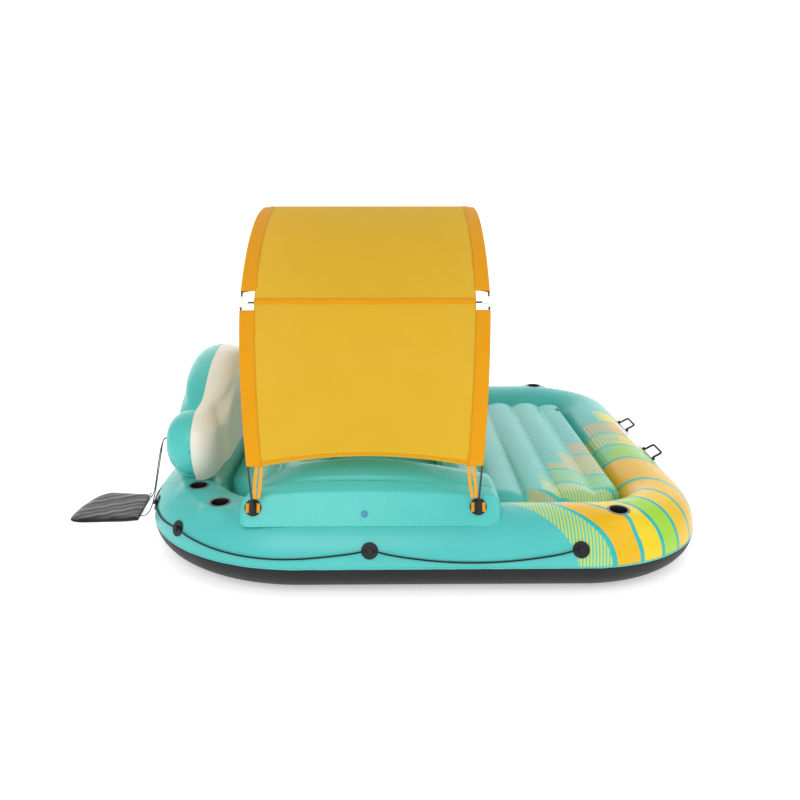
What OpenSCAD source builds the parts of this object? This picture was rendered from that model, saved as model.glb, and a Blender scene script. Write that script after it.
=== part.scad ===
/* [Hull] */
// Length of the island over the ring tube
hull_l = 2910; // [2420:10:3500]
// Beam of the island over the ring tube
hull_w = 2650; // [2200:10:3180]
// Height of the ring tube's crest above the floor
ring_h = 378; // [314:2:454]
// Width of the ring tube along each side
side_w = 440; // [364:4:528]
// Width of the ring tube at the front
front_w = 368; // [304:4:442]
// Width of the ring tube at the rear
rear_w = 420; // [350:5:504]
// Height of the weld between the coloured and the black film
seam_z = 160; // [134:2:192]
// Thickness of the bottom sheet
sheet_t = 12; // [8:1:16]

/* [Air chambers] */
// Wall of the smaller air chambers as modelled, thicker than the real film
film_t = 8; // [5:0.5:10]
// Wall of the ring tube's two halves as modelled
ring_film_t = 8; // [6:0.5:10]
// Width of one air tube of the sun deck
deck_pitch = 196.5; // [165:0.5:235]
// Number of air tubes in the sun deck
deck_tubes = 5; // [3:1:6]
// Height of the sun deck's crowns
deck_h = 338; // [282:2:400]
// Depth of the grooves between two air tubes
groove_d = 28; // [16:1:36]
// Number of air tubes in the rear seat
seat_tubes = 2; // [1:1:3]
// Height of the rear seat's crowns
seat_h = 330; // [276:2:380]
// Height of the footwell floor
floor_h = 130; // [100:5:158]
// Height of the side bolsters at mid length
bolster_h = 585; // [500:5:680]
// Height of the side bolsters' shoulder, which carries the canopy feet
shoulder_h = 465; // [440:5:490]

/* [Backrest] */
// Height of the middle lobe's top
back_top = 940; // [785:5:1120]
// Half spread of the side lobes' centres
lobe_y = 655; // [550:5:780]
// Radius of the side lobes
lobe_r = 175; // [146:1:200]
// Thickness of the backrest
back_t = 284; // [240:2:340]

/* [Canopy] */
// Distance between the front and the rear pair of feet
feet_span = 1068; // [890:2:1180]
// Distance between the two hoops at the cross bars
hoop_span = 1190; // [1070:2:1300]
// Beam of the hoops at their feet
hoop_w = 2440; // [2400:5:2480]
// Height of the hoops' ridge above the floor
hoop_h = 1750; // [1460:5:2100]
// Diameter of the hoop poles
pole_d = 9; // [7:0.5:11]
// Height of the hem's corners above the floor
hem_z = 632; // [600:2:700]
// Thickness of the canopy cloth as modelled
cloth_t = 1.6; // [1:0.2:3]

/* [Fittings] */
// Bore of a cup holder
cup_d = 84; // [70:1:100]
// Depth of a cup holder
cup_depth = 92; // [76:1:110]
// Diameter of a rope guide's disc
guide_d = 80; // [66:1:96]
// Diameter of the grab rope
rope_d = 8; // [6:0.5:10]
// Diameter of a canopy foot's disc
base_d = 80; // [66:1:96]
// Width of a carrying handle between its pivots
handle_w = 170; // [140:2:204]
// Height of a carrying handle above its pivots
handle_h = 58; // [48:1:70]
// Diameter of a handle's grip
grip_d = 13; // [11:0.5:15]

/* [Hidden] */

NEAR = -1;
FAR = 1;
REAR = -1;
FRONT = 1;
gap = 0.3;
run_gap = 0.05;
teal = "#4FBEB4";
black = "#2B2C30";
amber = "#E5A42A";

// The ring's plan: each corner is an elliptical quarter, outside and inside
rear_corner = [868, 805];
front_corner = [670, 588];
rear_inner_corner = [448, 385];
front_inner_corner = [200, 200];
corner_steps = 12;
profile_step = 15;
PROFILE_U = [for (t = [0:profile_step:180]) (1 - cos(t)) / 2];

function mix(a, b, f) = a * (1 - f) + b * f;
function unit(v) = v / norm(v);
function corner_side(q) = q == 0 || q == 3 ? FRONT : REAR;
function corner_hand(q) = q < 2 ? FAR : NEAR;
function outer_corner(q) = corner_side(q) == FRONT ? front_corner : rear_corner;
function inner_corner(q) = corner_side(q) == FRONT ? front_inner_corner : rear_inner_corner;
function end_w(q) = corner_side(q) == FRONT ? front_w : rear_w;

// A corner's outer point at an angle counted from +X about +Z
function outer_pt(q, ang) = [
    corner_side(q) * (hull_l / 2 - outer_corner(q).x) + outer_corner(q).x * cos(ang),
    corner_hand(q) * (hull_w / 2 - outer_corner(q).y) + outer_corner(q).y * sin(ang)
];
// Its partner on the ring's inner edge
function inner_pt(q, ang) = [
    corner_side(q) * (hull_l / 2 - end_w(q) - inner_corner(q).x) + inner_corner(q).x * cos(ang),
    corner_hand(q) * (hull_w / 2 - side_w - inner_corner(q).y) + inner_corner(q).y * sin(ang)
];
function station(q, ang) = [outer_pt(q, ang), inner_pt(q, ang)];
function side_station(x, hand) = [[x, hand * hull_w / 2], [x, hand * (hull_w / 2 - side_w)]];
STATIONS = [
    for (q = [0:3]) for (k = [0:corner_steps]) station(q, 90 * q + 90 * k / corner_steps)
];

// Height of the ring's top at a share u of its width, from its outer to its inner edge
function crest_z(u) = seam_z + (ring_h - seam_z) * sqrt(max(0, 1 - pow(1 - 2 * u, 2)));
// Share of the width at which the outer face reaches a height
function share_at(z) = (1 - sqrt(1 - pow((z - seam_z) / (ring_h - seam_z), 2))) / 2;
function plan_pt(s, u) = mix(s[0], s[1], u);
function raised(p, z) = [p.x, p.y, z];

// Underside: the outer face rolls in to the floor
roll_in = 205;
roll_steps = 6;

// Cup holders: places on the ring's broad crest
cup_t = 1.6;
cup_rim_r = 12;
cup_rim_t = 2;
cup_gap = 0.4;
rear_cup = [-1153, 822];
corner_cup = [-997, 1038];
front_cup = [951, 1151];
CUPS = [
    ["near_rear", rear_cup, NEAR], ["near_corner", corner_cup, NEAR], ["near_front", front_cup, NEAR],
    ["far_rear", rear_cup, FAR], ["far_corner", corner_cup, FAR], ["far_front", front_cup, FAR]
];
// The plan shifts with the hull's corners when its size changes
function cup_xy(cup) = [
    cup[1].x + sign(cup[1].x) * (hull_l - 2910) / 2,
    cup[2] * (cup[1].y + (hull_w - 2650) / 2)
];
cup_top = ring_h + gap;

// Decks inside the ring
deck_tuck = 41;
deck_front = hull_l / 2 - front_w + deck_tuck;
deck_rear = deck_front - deck_tubes * deck_pitch;
seat_rear = -hull_l / 2 + rear_w;
seat_pitch = 240;
seat_front = seat_rear + seat_tubes * seat_pitch;
deck_gap = 2;

// Side bolsters: shares of the ring's width, and the top's height at each share at mid length
bolster_foot = ring_h * 0.895;
facet_low = [0.226, bolster_foot + 23];
facet_high = [0.336, shoulder_h];
BOLSTER_U = concat(
    [0.2, facet_low[0], PROFILE_U[4], facet_high[0]],
    [for (k = [5:10]) PROFILE_U[k]],
    [0.965]
);
facet_slope = (facet_high[1] - facet_low[1]) / (facet_high[0] - facet_low[0]);
bolster_rise = bolster_h - shoulder_h;
BOLSTER_Z = [
    bolster_foot, facet_low[1], facet_low[1] + facet_slope * (PROFILE_U[4] - facet_low[0]), shoulder_h,
    shoulder_h + 0.2 * bolster_rise, shoulder_h + 0.54 * bolster_rise, shoulder_h + 0.87 * bolster_rise,
    bolster_h, shoulder_h + 0.82 * bolster_rise, shoulder_h + 0.3 * bolster_rise, shoulder_h - 55
];
canopy_x = -270;
bolster_over = 115;
bolster_front = canopy_x + feet_span / 2 + bolster_over;
bolster_corner_step = 3;
bolster_side_steps = 7;
bolster_end_rise = 0.12;
bolster_end_pull = 22;

// Canopy feet stand on the bolsters' flat facet
facet_lean = atan((facet_high[0] - facet_low[0]) * side_w / (facet_high[1] - facet_low[1]));
base_t = 6;
foot_z = (facet_low[1] + facet_high[1]) / 2 + 5;
facet_u = facet_low[0] + (foot_z - facet_low[1]) / facet_slope;
base_y = hull_w / 2 - side_w * facet_u;
foot_y = base_y + 22;
foot_top = foot_z + 50;
foot_low_r = 17;
foot_high_r = 8.5;
socket_low = foot_z - 10;
spring_z = foot_top + 2;
mid_y = 0.73 * foot_y;
mid_z = spring_z + 0.684 * (hoop_h - spring_z);
feet_x = feet_span / 2;
hoop_x = hoop_span / 2;
// Lower poles lean out from their feet to the cross bars
lower_lean = atan((hoop_x - feet_x) / (mid_z - spring_z));
lean_start = pole_d / 2 * sin(lower_lean) + 0.05;
lower_rise = norm([mid_z - spring_z, hoop_x - feet_x]) - lean_start;
lower_run = foot_y - mid_y;
lower_r = (lower_rise * lower_rise + lower_run * lower_run) / (2 * lower_run);
lower_ang = asin(lower_rise / lower_r);
upper_drop = hoop_h - mid_z;
upper_r = (upper_drop * upper_drop + mid_y * mid_y) / (2 * upper_drop);
upper_ang = asin(mid_y / upper_r);
tee_run = 58;
tee_reach = 35;
tee_r = 8;
tee_gap = 0.4;

// Cloth: its middle surface clears the tees
cloth_off = tee_r + gap + cloth_t / 2;
cloth_side_gap = tee_r + 2;
hem_ang = asin((hem_z - spring_z) / lower_r);
cloth_steps = 8;

// Webbing straps at the feet
strap_w = 16;
strap_t = 1.2;
strap_low = foot_top + 4;
strap_top = hem_z + 0.2;

// Valves
valve_r = 16;
valve_t = 2;
valve_bore = 5;
plug_r = 4.6;
plug_len = 4;
cap_t = 3;
cap_r = 11;
hinge_r = 1.5;
hinge_out = valve_r - 2;
// The ears' corners stay inside the circle that the cap's edge turns through
ear_half = 2.6;
cup_lift = 0.4;

// Rope guides and the grab rope
guide_z = 245;
guide_t = 5;
guide_rest = -1.2;
eye_up = guide_t + rope_d / 2 + 3;
eye_run = 17;
boss_r = 13;
boss_t = 20;
rope_rest = rope_d / 2 + 2;
rope_sides = 8;
front_guide_x = 741;
mid_guide_x = -251;
corner_guide = 43;
stern_guide = 16;
front_sag = 58;
rear_sag = 40;
stern_sag = 12;

// Handles on the front rim, on the facet between two steps of the ring's profile
handle_y = 262;
handle_u = [PROFILE_U[3], PROFILE_U[4]];
handle_lean = 60;
pivot_d = 6;
pivot_up = 10;
lug_t = 12;
patch_t = 2;
patch_u = [PROFILE_U[4], PROFILE_U[5]];

// Ballast line: routes from the backrest's anchor to the bag's mouth on the floor
line_d = 5;
anchor = [-1334, -660, 585];
NEAR_LINE = [
    [-1337.2, -663.2, 585], [-1350, -664, 584], [-1362, -664, 576], [-1372, -660, 552],
    [-1384, -652, 510], [-1400, -640, 452],
    [-1420, -622, 382], [-1442, -600, 308], [-1464, -576, 238], [-1488, -548, 174], [-1512, -520, 122],
    [-1538, -490, 80], [-1564, -462, 50], [-1590, -440, 32], [-1614, -424, 24],
    [-1626.5, -423, 22]
];
FAR_LINE = [
    [-1337.2, -656.8, 585], [-1350, -655, 584], [-1363, -650, 577], [-1376, -642, 556],
    [-1392, -626, 520], [-1412, -600, 468],
    [-1436, -564, 404], [-1462, -518, 332], [-1490, -466, 260], [-1518, -410, 194], [-1548, -350, 138],
    [-1576, -292, 94], [-1602, -236, 62], [-1624, -182, 42], [-1640, -132, 30], [-1650, -96, 26],
    [-1659.3, -95, 23]
];
line_ref = [1, 1, 0];
BAG = [
    [-1626, -436], [-1640, -250], [-1662, -84], [-1760, -60], [-1880, -44],
    [-1950, -60], [-1990, -130], [-2020, -250], [-2030, -380], [-2010, -440],
    [-1940, -462], [-1800, -456], [-1700, -452]
];
bag_t = 30;

// A closed body through rows of points: each row is a loop, capped at both ends or wrapped round
module loft(rows, wrap = false) {
    n = len(rows);
    m = len(rows[0]);
    last = wrap ? n - 1 : n - 2;
    points = [for (row = rows) for (p = row) p];
    sides = [
        for (i = [0:last]) for (j = [0:m - 1])
            let (a = i * m + j, b = i * m + (j + 1) % m)
            let (c = ((i + 1) % n) * m + (j + 1) % m, d = ((i + 1) % n) * m + j)
            each [[c, b, a], [d, c, a]]
    ];
    first_cap = [for (j = [0:m - 1]) j];
    last_cap = [for (j = [m - 1:-1:0]) (n - 1) * m + j];
    polyhedron(points, wrap ? sides : concat(sides, [first_cap, last_cap]), convexity = 8);
}

// A closed slab between two matching grids of points, the upper and the lower
module slab(upper, lower) {
    n = len(upper);
    m = len(upper[0]);
    count = n * m;
    points = concat([for (row = upper) for (p = row) p], [for (row = lower) for (p = row) p]);
    skins = [
        for (i = [0:n - 2]) for (j = [0:m - 2])
            let (a = i * m + j, b = a + 1, c = a + m + 1, d = a + m)
            each [
                [a, b, c], [a, c, d],
                [count + a, count + c, count + b], [count + a, count + d, count + c]
            ]
    ];
    sides = [
        for (i = [0:n - 2])
            let (a = i * m, b = a + m, c = a + m - 1, d = b + m - 1)
            each [
                [a, b, count + b], [a, count + b, count + a],
                [d, c, count + c], [d, count + c, count + d]
            ]
    ];
    ends = [
        for (j = [0:m - 2])
            let (a = j, b = j + 1, c = count - m + j, d = c + 1)
            each [
                [b, a, count + a], [b, count + a, count + b],
                [c, d, count + d], [c, count + d, count + c]
            ]
    ];
    polyhedron(points, concat(skins, sides, ends), convexity = 8);
}

// A round line swept along points; ref is a direction that it never runs along
module line_tube(path, d, sides, ref) {
    n = len(path);
    rows = [
        for (i = [0:n - 1])
            let (t = unit(path[min(i + 1, n - 1)] - path[max(i - 1, 0)]))
            let (a = unit(cross(t, ref)), b = cross(t, a))
            [for (k = [0:sides - 1]) path[i] + d / 2 * (cos(360 * k / sides) * a + sin(360 * k / sides) * b)]
    ];
    loft(rows);
}

// Places a shape that is drawn at the origin on a canopy corner
module at_foot(side, hand) {
    translate([canopy_x + side * feet_x, hand * base_y, foot_z])
        children();
}

// Wells for the cup holders, or those wells with a wall round them
module cup_wells(wall) {
    for (cup = CUPS)
        translate([cup_xy(cup).x, cup_xy(cup).y, cup_top - cup_depth - cup_t - cup_gap - wall])
            cylinder(h = cup_depth * 2, d = cup_d + 2 * (cup_t + cup_gap + wall), $fn = 48);
}

module hull_tube() {
    skin = [for (u = PROFILE_U) [for (s = STATIONS) raised(plan_pt(s, u), crest_z(u))]];
    air_low = seam_z + ring_film_t;
    air = [
        for (u = PROFILE_U)
            [for (s = STATIONS)
                let (edge = ring_film_t / norm(s[1] - s[0]))
                raised(plan_pt(s, mix(edge, 1 - edge, u)), max(air_low, crest_z(u) - ring_film_t))]
    ];
    color(teal)
        difference() {
            loft(skin, true);
            difference() {
                loft(air, true);
                cup_wells(ring_film_t);
            }
            cup_wells(0);
        }
}

// Rows of the ring's lower half from its foot on the floor up to the weld, inside a skin
function rolled(skin) = [
    for (k = [roll_steps:-1:0])
        let (t = 90 * k / roll_steps, up = 1 - sin(t), in = 1 - cos(t))
        [for (s = STATIONS)
            raised(plan_pt(s, mix(skin, roll_in, in) / norm(s[1] - s[0])), mix(skin, seam_z - skin, up))]
];
// One row above the ring's inner edge, at a height
function inner_row(skin, z) = [
    for (s = STATIONS) raised(plan_pt(s, 1 - skin / norm(s[1] - s[0])), z)
];

module hull_underside() {
    t = ring_film_t;
    color(black)
        difference() {
            loft(concat(rolled(0), [inner_row(0, seam_z), inner_row(0, sheet_t)]));
            loft(concat(rolled(t), [inner_row(t, seam_z - t), inner_row(t, t)]), true);
        }
}

// Plan of the space inside the ring
module inner_plan(inset) {
    polygon([
        for (q = [0:3]) for (k = [0:corner_steps])
            let (ang = 90 * q + 90 * k / corner_steps)
            inner_pt(q, ang) - inset * [cos(ang), sin(ang)]
    ]);
}

// A row of air tubes side by side, running across the island, inside the ring
module tube_bank(rear, pitch, tubes, crown, groove) {
    arc_r = (pitch * pitch / 4 + groove * groove) / (2 * groove);
    length = pitch * tubes;
    difference() {
        intersection() {
            rotate([90, 0, 0])
                linear_extrude(height = hull_w, center = true)
                    union() {
                        translate([rear, sheet_t])
                            square([length, crown - groove - sheet_t - film_t / 2]);
                        for (k = [0:tubes - 1])
                            intersection() {
                                translate([rear + (k + 0.5) * pitch, crown - arc_r])
                                    circle(r = arc_r, $fn = 96);
                                translate([rear + k * pitch, sheet_t])
                                    square([pitch, crown]);
                            }
                    }
            linear_extrude(height = 2 * crown)
                inner_plan(deck_gap);
        }
        translate([0, 0, sheet_t + film_t])
            linear_extrude(height = crown - groove - sheet_t - 2 * film_t)
                intersection() {
                    inner_plan(deck_gap + film_t);
                    translate([rear + film_t, -hull_w / 2])
                        square([length - 2 * film_t, hull_w]);
                }
    }
}

module sun_deck() {
    color(teal)
        tube_bank(deck_rear, deck_pitch, deck_tubes, deck_h, groove_d);
}

module rear_seat() {
    color(teal)
        tube_bank(seat_rear, seat_pitch, seat_tubes, seat_h, groove_d);
}

module footwell_floor() {
    length = deck_rear - seat_front - 2 * gap;
    tubes = max(2, round(length / 160));
    color(teal)
        tube_bank(seat_front + gap, length / tubes, tubes, floor_h, groove_d / 2);
}

// A bolster saddles the ring
module bolster_slab(hand) {
    corner = [
        for (k = [bolster_corner_step:-1:1])
            let (ang = 90 * k / corner_steps)
            hand == FAR ? station(1, 90 + ang) : station(2, 270 - ang)
    ];
    rear_x = -hull_l / 2 + rear_corner.x;
    side = [
        for (k = [0:bolster_side_steps])
            side_station(mix(rear_x, bolster_front, k / bolster_side_steps), hand)
    ];
    stations = concat(corner, side);
    n = len(stations) - 1;
    m = len(BOLSTER_U) - 1;
    upper = [
        for (i = [0:n])
            let (end = i == 0 || i == n ? 1 : 0)
            let (rise = mix(sin(180 * i / n), 1, bolster_end_rise))
            [for (j = [0:m])
                let (x = plan_pt(stations[i], BOLSTER_U[j]).x)
                let (y = hull_w / 2 - side_w * BOLSTER_U[j] - end * bolster_end_pull * (1 - j / m))
                let (z = BOLSTER_Z[j] > shoulder_h ? mix(shoulder_h, BOLSTER_Z[j], rise) : BOLSTER_Z[j])
                [x, hand * y, z]]
    ];
    lower = [for (s = stations) [for (u = BOLSTER_U) raised(plan_pt(s, u), crest_z(u) + gap)]];
    if (hand == NEAR)
        slab(upper, lower);
    else
        slab([for (row = upper) [for (j = [m:-1:0]) row[j]]], [for (row = lower) [for (j = [m:-1:0]) row[j]]]);
}

module bolster(hand) {
    color(teal)
        bolster_slab(hand);
}

// The backrest's cloud outline: a broad middle lobe between two round ones
module cloud(inset) {
    back_foot = ring_h + 2 * gap;
    notch = [lobe_y - 0.6 * lobe_r, 560 + 0.75 * lobe_r];
    rise = back_top - notch.y;
    lobe_big = (notch.x * notch.x + rise * rise) / (2 * rise);
    intersection() {
        union() {
            intersection() {
                translate([0, back_top - lobe_big])
                    circle(r = lobe_big - inset, $fn = 120);
                translate([-notch.x, back_foot])
                    square([2 * notch.x, back_top]);
            }
            for (hand = [NEAR, FAR])
                translate([hand * lobe_y, 560])
                    circle(r = lobe_r - inset, $fn = 72);
            translate([-lobe_y, back_foot])
                square([2 * lobe_y, 560 - back_foot]);
        }
        translate([-hull_w / 2, back_foot + inset])
            square([hull_w, back_top]);
    }
}

// One half of the backrest: a full layer at the weld and a smaller one on its outer side
module back_half(depth, side) {
    seam_x = -hull_l / 2 + 275;
    crown = 60;
    translate([seam_x, 0, 0])
        rotate([90, 0, 90])
            mirror([0, 0, side == FRONT ? 0 : 1])
                difference() {
                    union() {
                        linear_extrude(height = depth - crown)
                            cloud(0);
                        linear_extrude(height = depth)
                            cloud(crown * 0.7);
                    }
                    translate([0, 0, film_t])
                        linear_extrude(height = depth - 2 * film_t)
                            cloud(crown * 0.7 + film_t);
                }
}

module backrest_front() {
    color("#DEDDCE")
        back_half(0.46 * back_t, FRONT);
}

module backrest_back() {
    color(teal)
        back_half(0.54 * back_t, REAR);
}

module cup_holder(cup) {
    r = cup_d / 2;
    color(black)
        translate([cup_xy(cup).x, cup_xy(cup).y, cup_top])
            rotate_extrude($fn = 64)
                union() {
                    translate([0, -cup_depth - cup_t])
                        square([r + cup_t, cup_t]);
                    translate([r, -cup_depth - cup_t])
                        square([cup_t, cup_depth + cup_t]);
                    translate([r, 0])
                        square([cup_rim_r, cup_rim_t]);
                }
}

// Valve places: origin, turn about X, turn about Y, side it looks to
deck_valve = [deck_front - 0.5 * deck_pitch, hull_w / 2 - side_w - 245, deck_h + gap];
seat_valve = [seat_rear + 0.5 * seat_pitch, 520, seat_h + gap];
hull_valve = raised(plan_pt(station(1, 135), 0.5), ring_h + gap);
bolster_valve_z = foot_z - 28;
bolster_valve_y = base_y + (foot_z - bolster_valve_z) * tan(facet_lean) + gap;
VALVES = [
    ["hull_valve_cap", hull_valve, [0, 0, 0]],
    ["deck_valve_cap", deck_valve, [0, 0, 0]],
    ["seat_valve_cap", seat_valve, [0, 0, 0]],
    ["near_bolster_valve_cap", [canopy_x - 6, -bolster_valve_y, bolster_valve_z], [90 - facet_lean, 0, 0]],
    ["far_bolster_valve_cap", [canopy_x - 6, bolster_valve_y, bolster_valve_z], [90 - facet_lean, 0, 180]],
    ["backrest_valve_cap", [-hull_l / 2 + 275 - 0.54 * back_t - gap, 240, 520], [90, 0, -90]]
];

module valve_base() {
    rotate_extrude($fn = 48)
        union() {
            translate([valve_bore, 0])
                square([valve_r - valve_bore, valve_t]);
            translate([valve_bore, 0])
                square([2, valve_t + 2]);
        }
    for (hand = [-1, 1])
        difference() {
            translate([hand * 5 - 1, -hinge_out - ear_half, 0])
                cube([2, 2 * ear_half, valve_t + 3 + ear_half]);
            translate([hand * 5 - 2, -hinge_out, valve_t + 3])
                rotate([0, 90, 0])
                    cylinder(h = 4, r = hinge_r + run_gap, $fn = 32);
        }
}

// The cap lies over the valve on a short plug and turns on a pin between the base's ears
module valve_cap(valve) {
    lift = valve_t + 2 + cup_lift;
    color("#9FC7DC")
        translate(valve[1])
            rotate(valve[2])
                union() {
                    translate([0, 0, lift])
                        cylinder(h = cap_t, r = cap_r, $fn = 48);
                    translate([0, 0, lift - 1.4])
                        cylinder(h = 1.4, r = valve_bore - 0.6, $fn = 32);
                    translate([-3.6, -hinge_out, valve_t + 3 - hinge_r])
                        cube([7.2, hinge_out - cap_r + 2, hinge_r * 2]);
                    translate([-6.5, -hinge_out, valve_t + 3])
                        rotate([0, 90, 0])
                            cylinder(h = 13, r = hinge_r, $fn = 32);
                }
}

module valve_bases() {
    color("#9FC7DC")
        for (valve = VALVES)
            translate(valve[1])
                rotate(valve[2])
                    valve_base();
}

// Outward direction of the ring's outer edge at a corner angle
function corner_out(q, ang) = unit([cos(ang) / outer_corner(q).x, sin(ang) / outer_corner(q).y]);
// Place of a fitting on the ring's outer face: plan point and outward direction
function side_place(x, hand) = [[x, hand * hull_w / 2], [0, hand]];
function corner_place(q, ang) = [outer_pt(q, ang), corner_out(q, ang)];
GUIDES = [
    side_place(front_guide_x, NEAR), side_place(mid_guide_x, NEAR),
    corner_place(2, 180 + corner_guide), corner_place(2, 180 + stern_guide),
    corner_place(1, 180 - stern_guide), corner_place(1, 180 - corner_guide),
    side_place(mid_guide_x, FAR), side_place(front_guide_x, FAR)
];
function face_pt(place, z, off) = let (p = place[0] + place[1] * (off - side_w * share_at(z))) [p.x, p.y, z];

// Lean of the ring's outer face at the guides
guide_share = share_at(guide_z);
guide_lean = atan(
    side_w * sqrt(1 - pow(1 - 2 * guide_share, 2)) / ((ring_h - seam_z) * 2 * (1 - 2 * guide_share))
);

module rope_guides() {
    color(black)
        for (place = GUIDES) {
            at = face_pt(place, guide_z, 0);
            translate(at)
                rotate([0, -guide_lean, atan2(place[1].y, place[1].x)])
                    translate([guide_rest, 0, 0])
                        rotate([0, 90, 0])
                            difference() {
                                union() {
                                    cylinder(h = guide_t, d = guide_d, $fn = 64);
                                    cylinder(h = boss_t, r = boss_r, $fn = 48);
                                }
                                translate([0, 0, eye_up])
                                    rotate([90, 0, 0])
                                        cylinder(h = 4 * boss_r, d = rope_d + 2.4, center = true, $fn = 32);
                            }
        }
}

// The rope's places along the outside, from the near front guide round the rear to the far one
function blend_side(x0, x1, hand, n) = [for (k = [0:n]) side_place(mix(x0, x1, k / n), hand)];
function toward(a, b) = let (f = eye_run / norm(b[0] - a[0])) [mix(a[0], b[0], f), unit(mix(a[1], b[1], f))];
function level(place) = face_pt(place, rope_z, rope_at_eye);
function sagged(places, sag) =
    let (n = len(places) - 1)
    concat(
        [level(places[0]), level(toward(places[0], places[1]))],
        [
            for (k = [1:n - 1])
                let (f = k / n, dip = 4 * f * (1 - f))
                face_pt(places[k], rope_z - sag * dip, mix(rope_at_eye, rope_rest, min(1, 2 * dip)))
        ],
        [level(toward(places[n], places[n - 1])), level(places[n])]
    );
rope_z = guide_z + (guide_rest + eye_up) * sin(guide_lean);
rope_at_eye = (guide_rest + eye_up) * cos(guide_lean) + side_w * (share_at(rope_z) - guide_share);

function without_first(list) = [for (k = [1:len(list) - 1]) list[k]];
near_front_span = blend_side(front_guide_x, mid_guide_x, NEAR, 10);
rear_straight_x = -hull_l / 2 + rear_corner.x;
near_rear_span = concat(
    blend_side(mid_guide_x, rear_straight_x, NEAR, 4),
    [for (k = [1:7]) corner_place(2, 270 - (90 - corner_guide) * k / 7)]
);
near_corner_span = [for (k = [0:5]) corner_place(2, 180 + mix(corner_guide, stern_guide, k / 5))];
stern_edge = hull_w / 2 - rear_corner.y;
stern_span = concat(
    [for (k = [0:3]) corner_place(2, 180 + stern_guide * (1 - k / 3))],
    [for (k = [1:5]) [[-hull_l / 2, mix(-stern_edge, stern_edge, k / 6)], [-1, 0]]],
    [for (k = [0:3]) corner_place(1, 180 - stern_guide * k / 3)]
);
function mirrored(list) = [for (k = [len(list) - 1:-1:0]) [list[k].x, -list[k].y, list[k].z]];

module grab_rope() {
    half = concat(
        [face_pt(side_place(front_guide_x + 34, NEAR), rope_z - 2, rope_at_eye)],
        sagged(near_front_span, front_sag),
        without_first(sagged(near_rear_span, rear_sag)),
        without_first(sagged(near_corner_span, stern_sag))
    );
    stern = sagged(stern_span, stern_sag);
    color(black)
        line_tube(
            concat(half, without_first(stern), without_first(mirrored(half))),
            rope_d, rope_sides, [0, 0, 1]
        );
}

// Frame of a facet on the front rim: its middle and its lean
function rim_pt(u) = [hull_l / 2 - front_w * u, crest_z(u)];
function rim_mid(pair) = (rim_pt(pair[0]) + rim_pt(pair[1])) / 2;
function rim_lean(pair) = atan2(rim_pt(pair[1]).y - rim_pt(pair[0]).y, rim_pt(pair[0]).x - rim_pt(pair[1]).x);
function rim_len(pair) = norm(rim_pt(pair[1]) - rim_pt(pair[0]));

module on_rim(pair, y) {
    translate([rim_mid(pair).x, y, rim_mid(pair).y])
        rotate([0, rim_lean(pair), 0])
            translate([0, 0, gap])
                children();
}

module handle_patches() {
    leaf = rim_len(handle_u) - 2;
    color(black)
        for (y = [-handle_y, handle_y])
            on_rim(handle_u, y)
                union() {
                    translate([-leaf / 2, -handle_w / 2 - 20, 0])
                        cube([leaf, handle_w + 40, patch_t]);
                    for (hand = [-1, 1])
                        difference() {
                            translate([-9, hand * handle_w / 2 - lug_t / 2, 0])
                                cube([18, lug_t, pivot_up + 6]);
                            translate([0, hand * handle_w / 2, pivot_up])
                                rotate([90, 0, 0])
                                    cylinder(h = 2 * lug_t, d = pivot_d + 2 * run_gap, center = true, $fn = 48);
                        }
                }
}

// A carrying handle: two legs and a grip bar in one round bent rod, on pivots in the patch's lugs
module handle(y) {
    leg_y = handle_w / 2 - lug_t / 2 - grip_d / 2 - 0.5;
    bend = 16;
    color(black)
        on_rim(handle_u, y)
            translate([0, 0, pivot_up])
                rotate([0, handle_lean - rim_lean(handle_u), 0])
                    union() {
                        for (hand = [-1, 1]) {
                            translate([0, hand * leg_y, 0])
                                cylinder(h = handle_h - bend, d = grip_d, $fn = 48);
                            translate([0, hand * leg_y, 0])
                                rotate([-90 * hand, 0, 0])
                                    cylinder(h = handle_w / 2 + lug_t / 2 - leg_y, d = pivot_d, $fn = 48);
                            translate([0, hand * (leg_y - bend), handle_h - bend])
                                rotate([90, 0, 90])
                                    rotate([0, 0, hand == 1 ? 0 : 90])
                                        rotate_extrude(angle = 90, $fn = 96)
                                            translate([bend, 0])
                                                circle(d = grip_d, $fn = 48);
                        }
                        translate([0, -(leg_y - bend), handle_h])
                            rotate([-90, 0, 0])
                                cylinder(h = 2 * (leg_y - bend), d = grip_d, $fn = 48);
                    }
}

module boarding_patch() {
    leaf = rim_len(patch_u) - 2;
    color("#E4E6DF")
        on_rim(patch_u, 0)
            translate([-leaf / 2, -225, 0])
                cube([leaf, 450, 1]);
}

// Disc of a canopy foot, flat on the bolster's facet
module base_frame(side, hand) {
    at_foot(side, hand)
        rotate([-hand * (90 - facet_lean), 0, 0])
            translate([0, 0, gap])
                children();
}

module canopy_bases() {
    color(black)
        for (side = [REAR, FRONT]) for (hand = [NEAR, FAR])
            base_frame(side, hand)
                cylinder(h = base_t, d = base_d, $fn = 64);
}

module canopy_foot(side, hand) {
    reach = 200;
    color(black)
        difference() {
            translate([canopy_x + side * feet_x, hand * foot_y, 0])
                difference() {
                    translate([0, 0, foot_z - 22])
                        cylinder(h = foot_top - foot_z + 22, r1 = foot_low_r, r2 = foot_high_r, $fn = 64);
                    translate([0, 0, socket_low])
                        cylinder(h = reach, d = pole_d + 2 * run_gap, $fn = 48);
                }
            base_frame(side, hand)
                translate([-reach / 2, -reach / 2, base_t - reach])
                    cube([reach, reach, reach]);
        }
}

// A bent tube on a circle about X, from one angle to another, counted from +Y towards +Z
module bent(r, from, to, d) {
    rotate([90, 0, 90])
        rotate([0, 0, from])
            rotate_extrude(angle = to - from, $fn = 180)
                translate([r, 0])
                    circle(d = d, $fn = 48);
}

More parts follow.
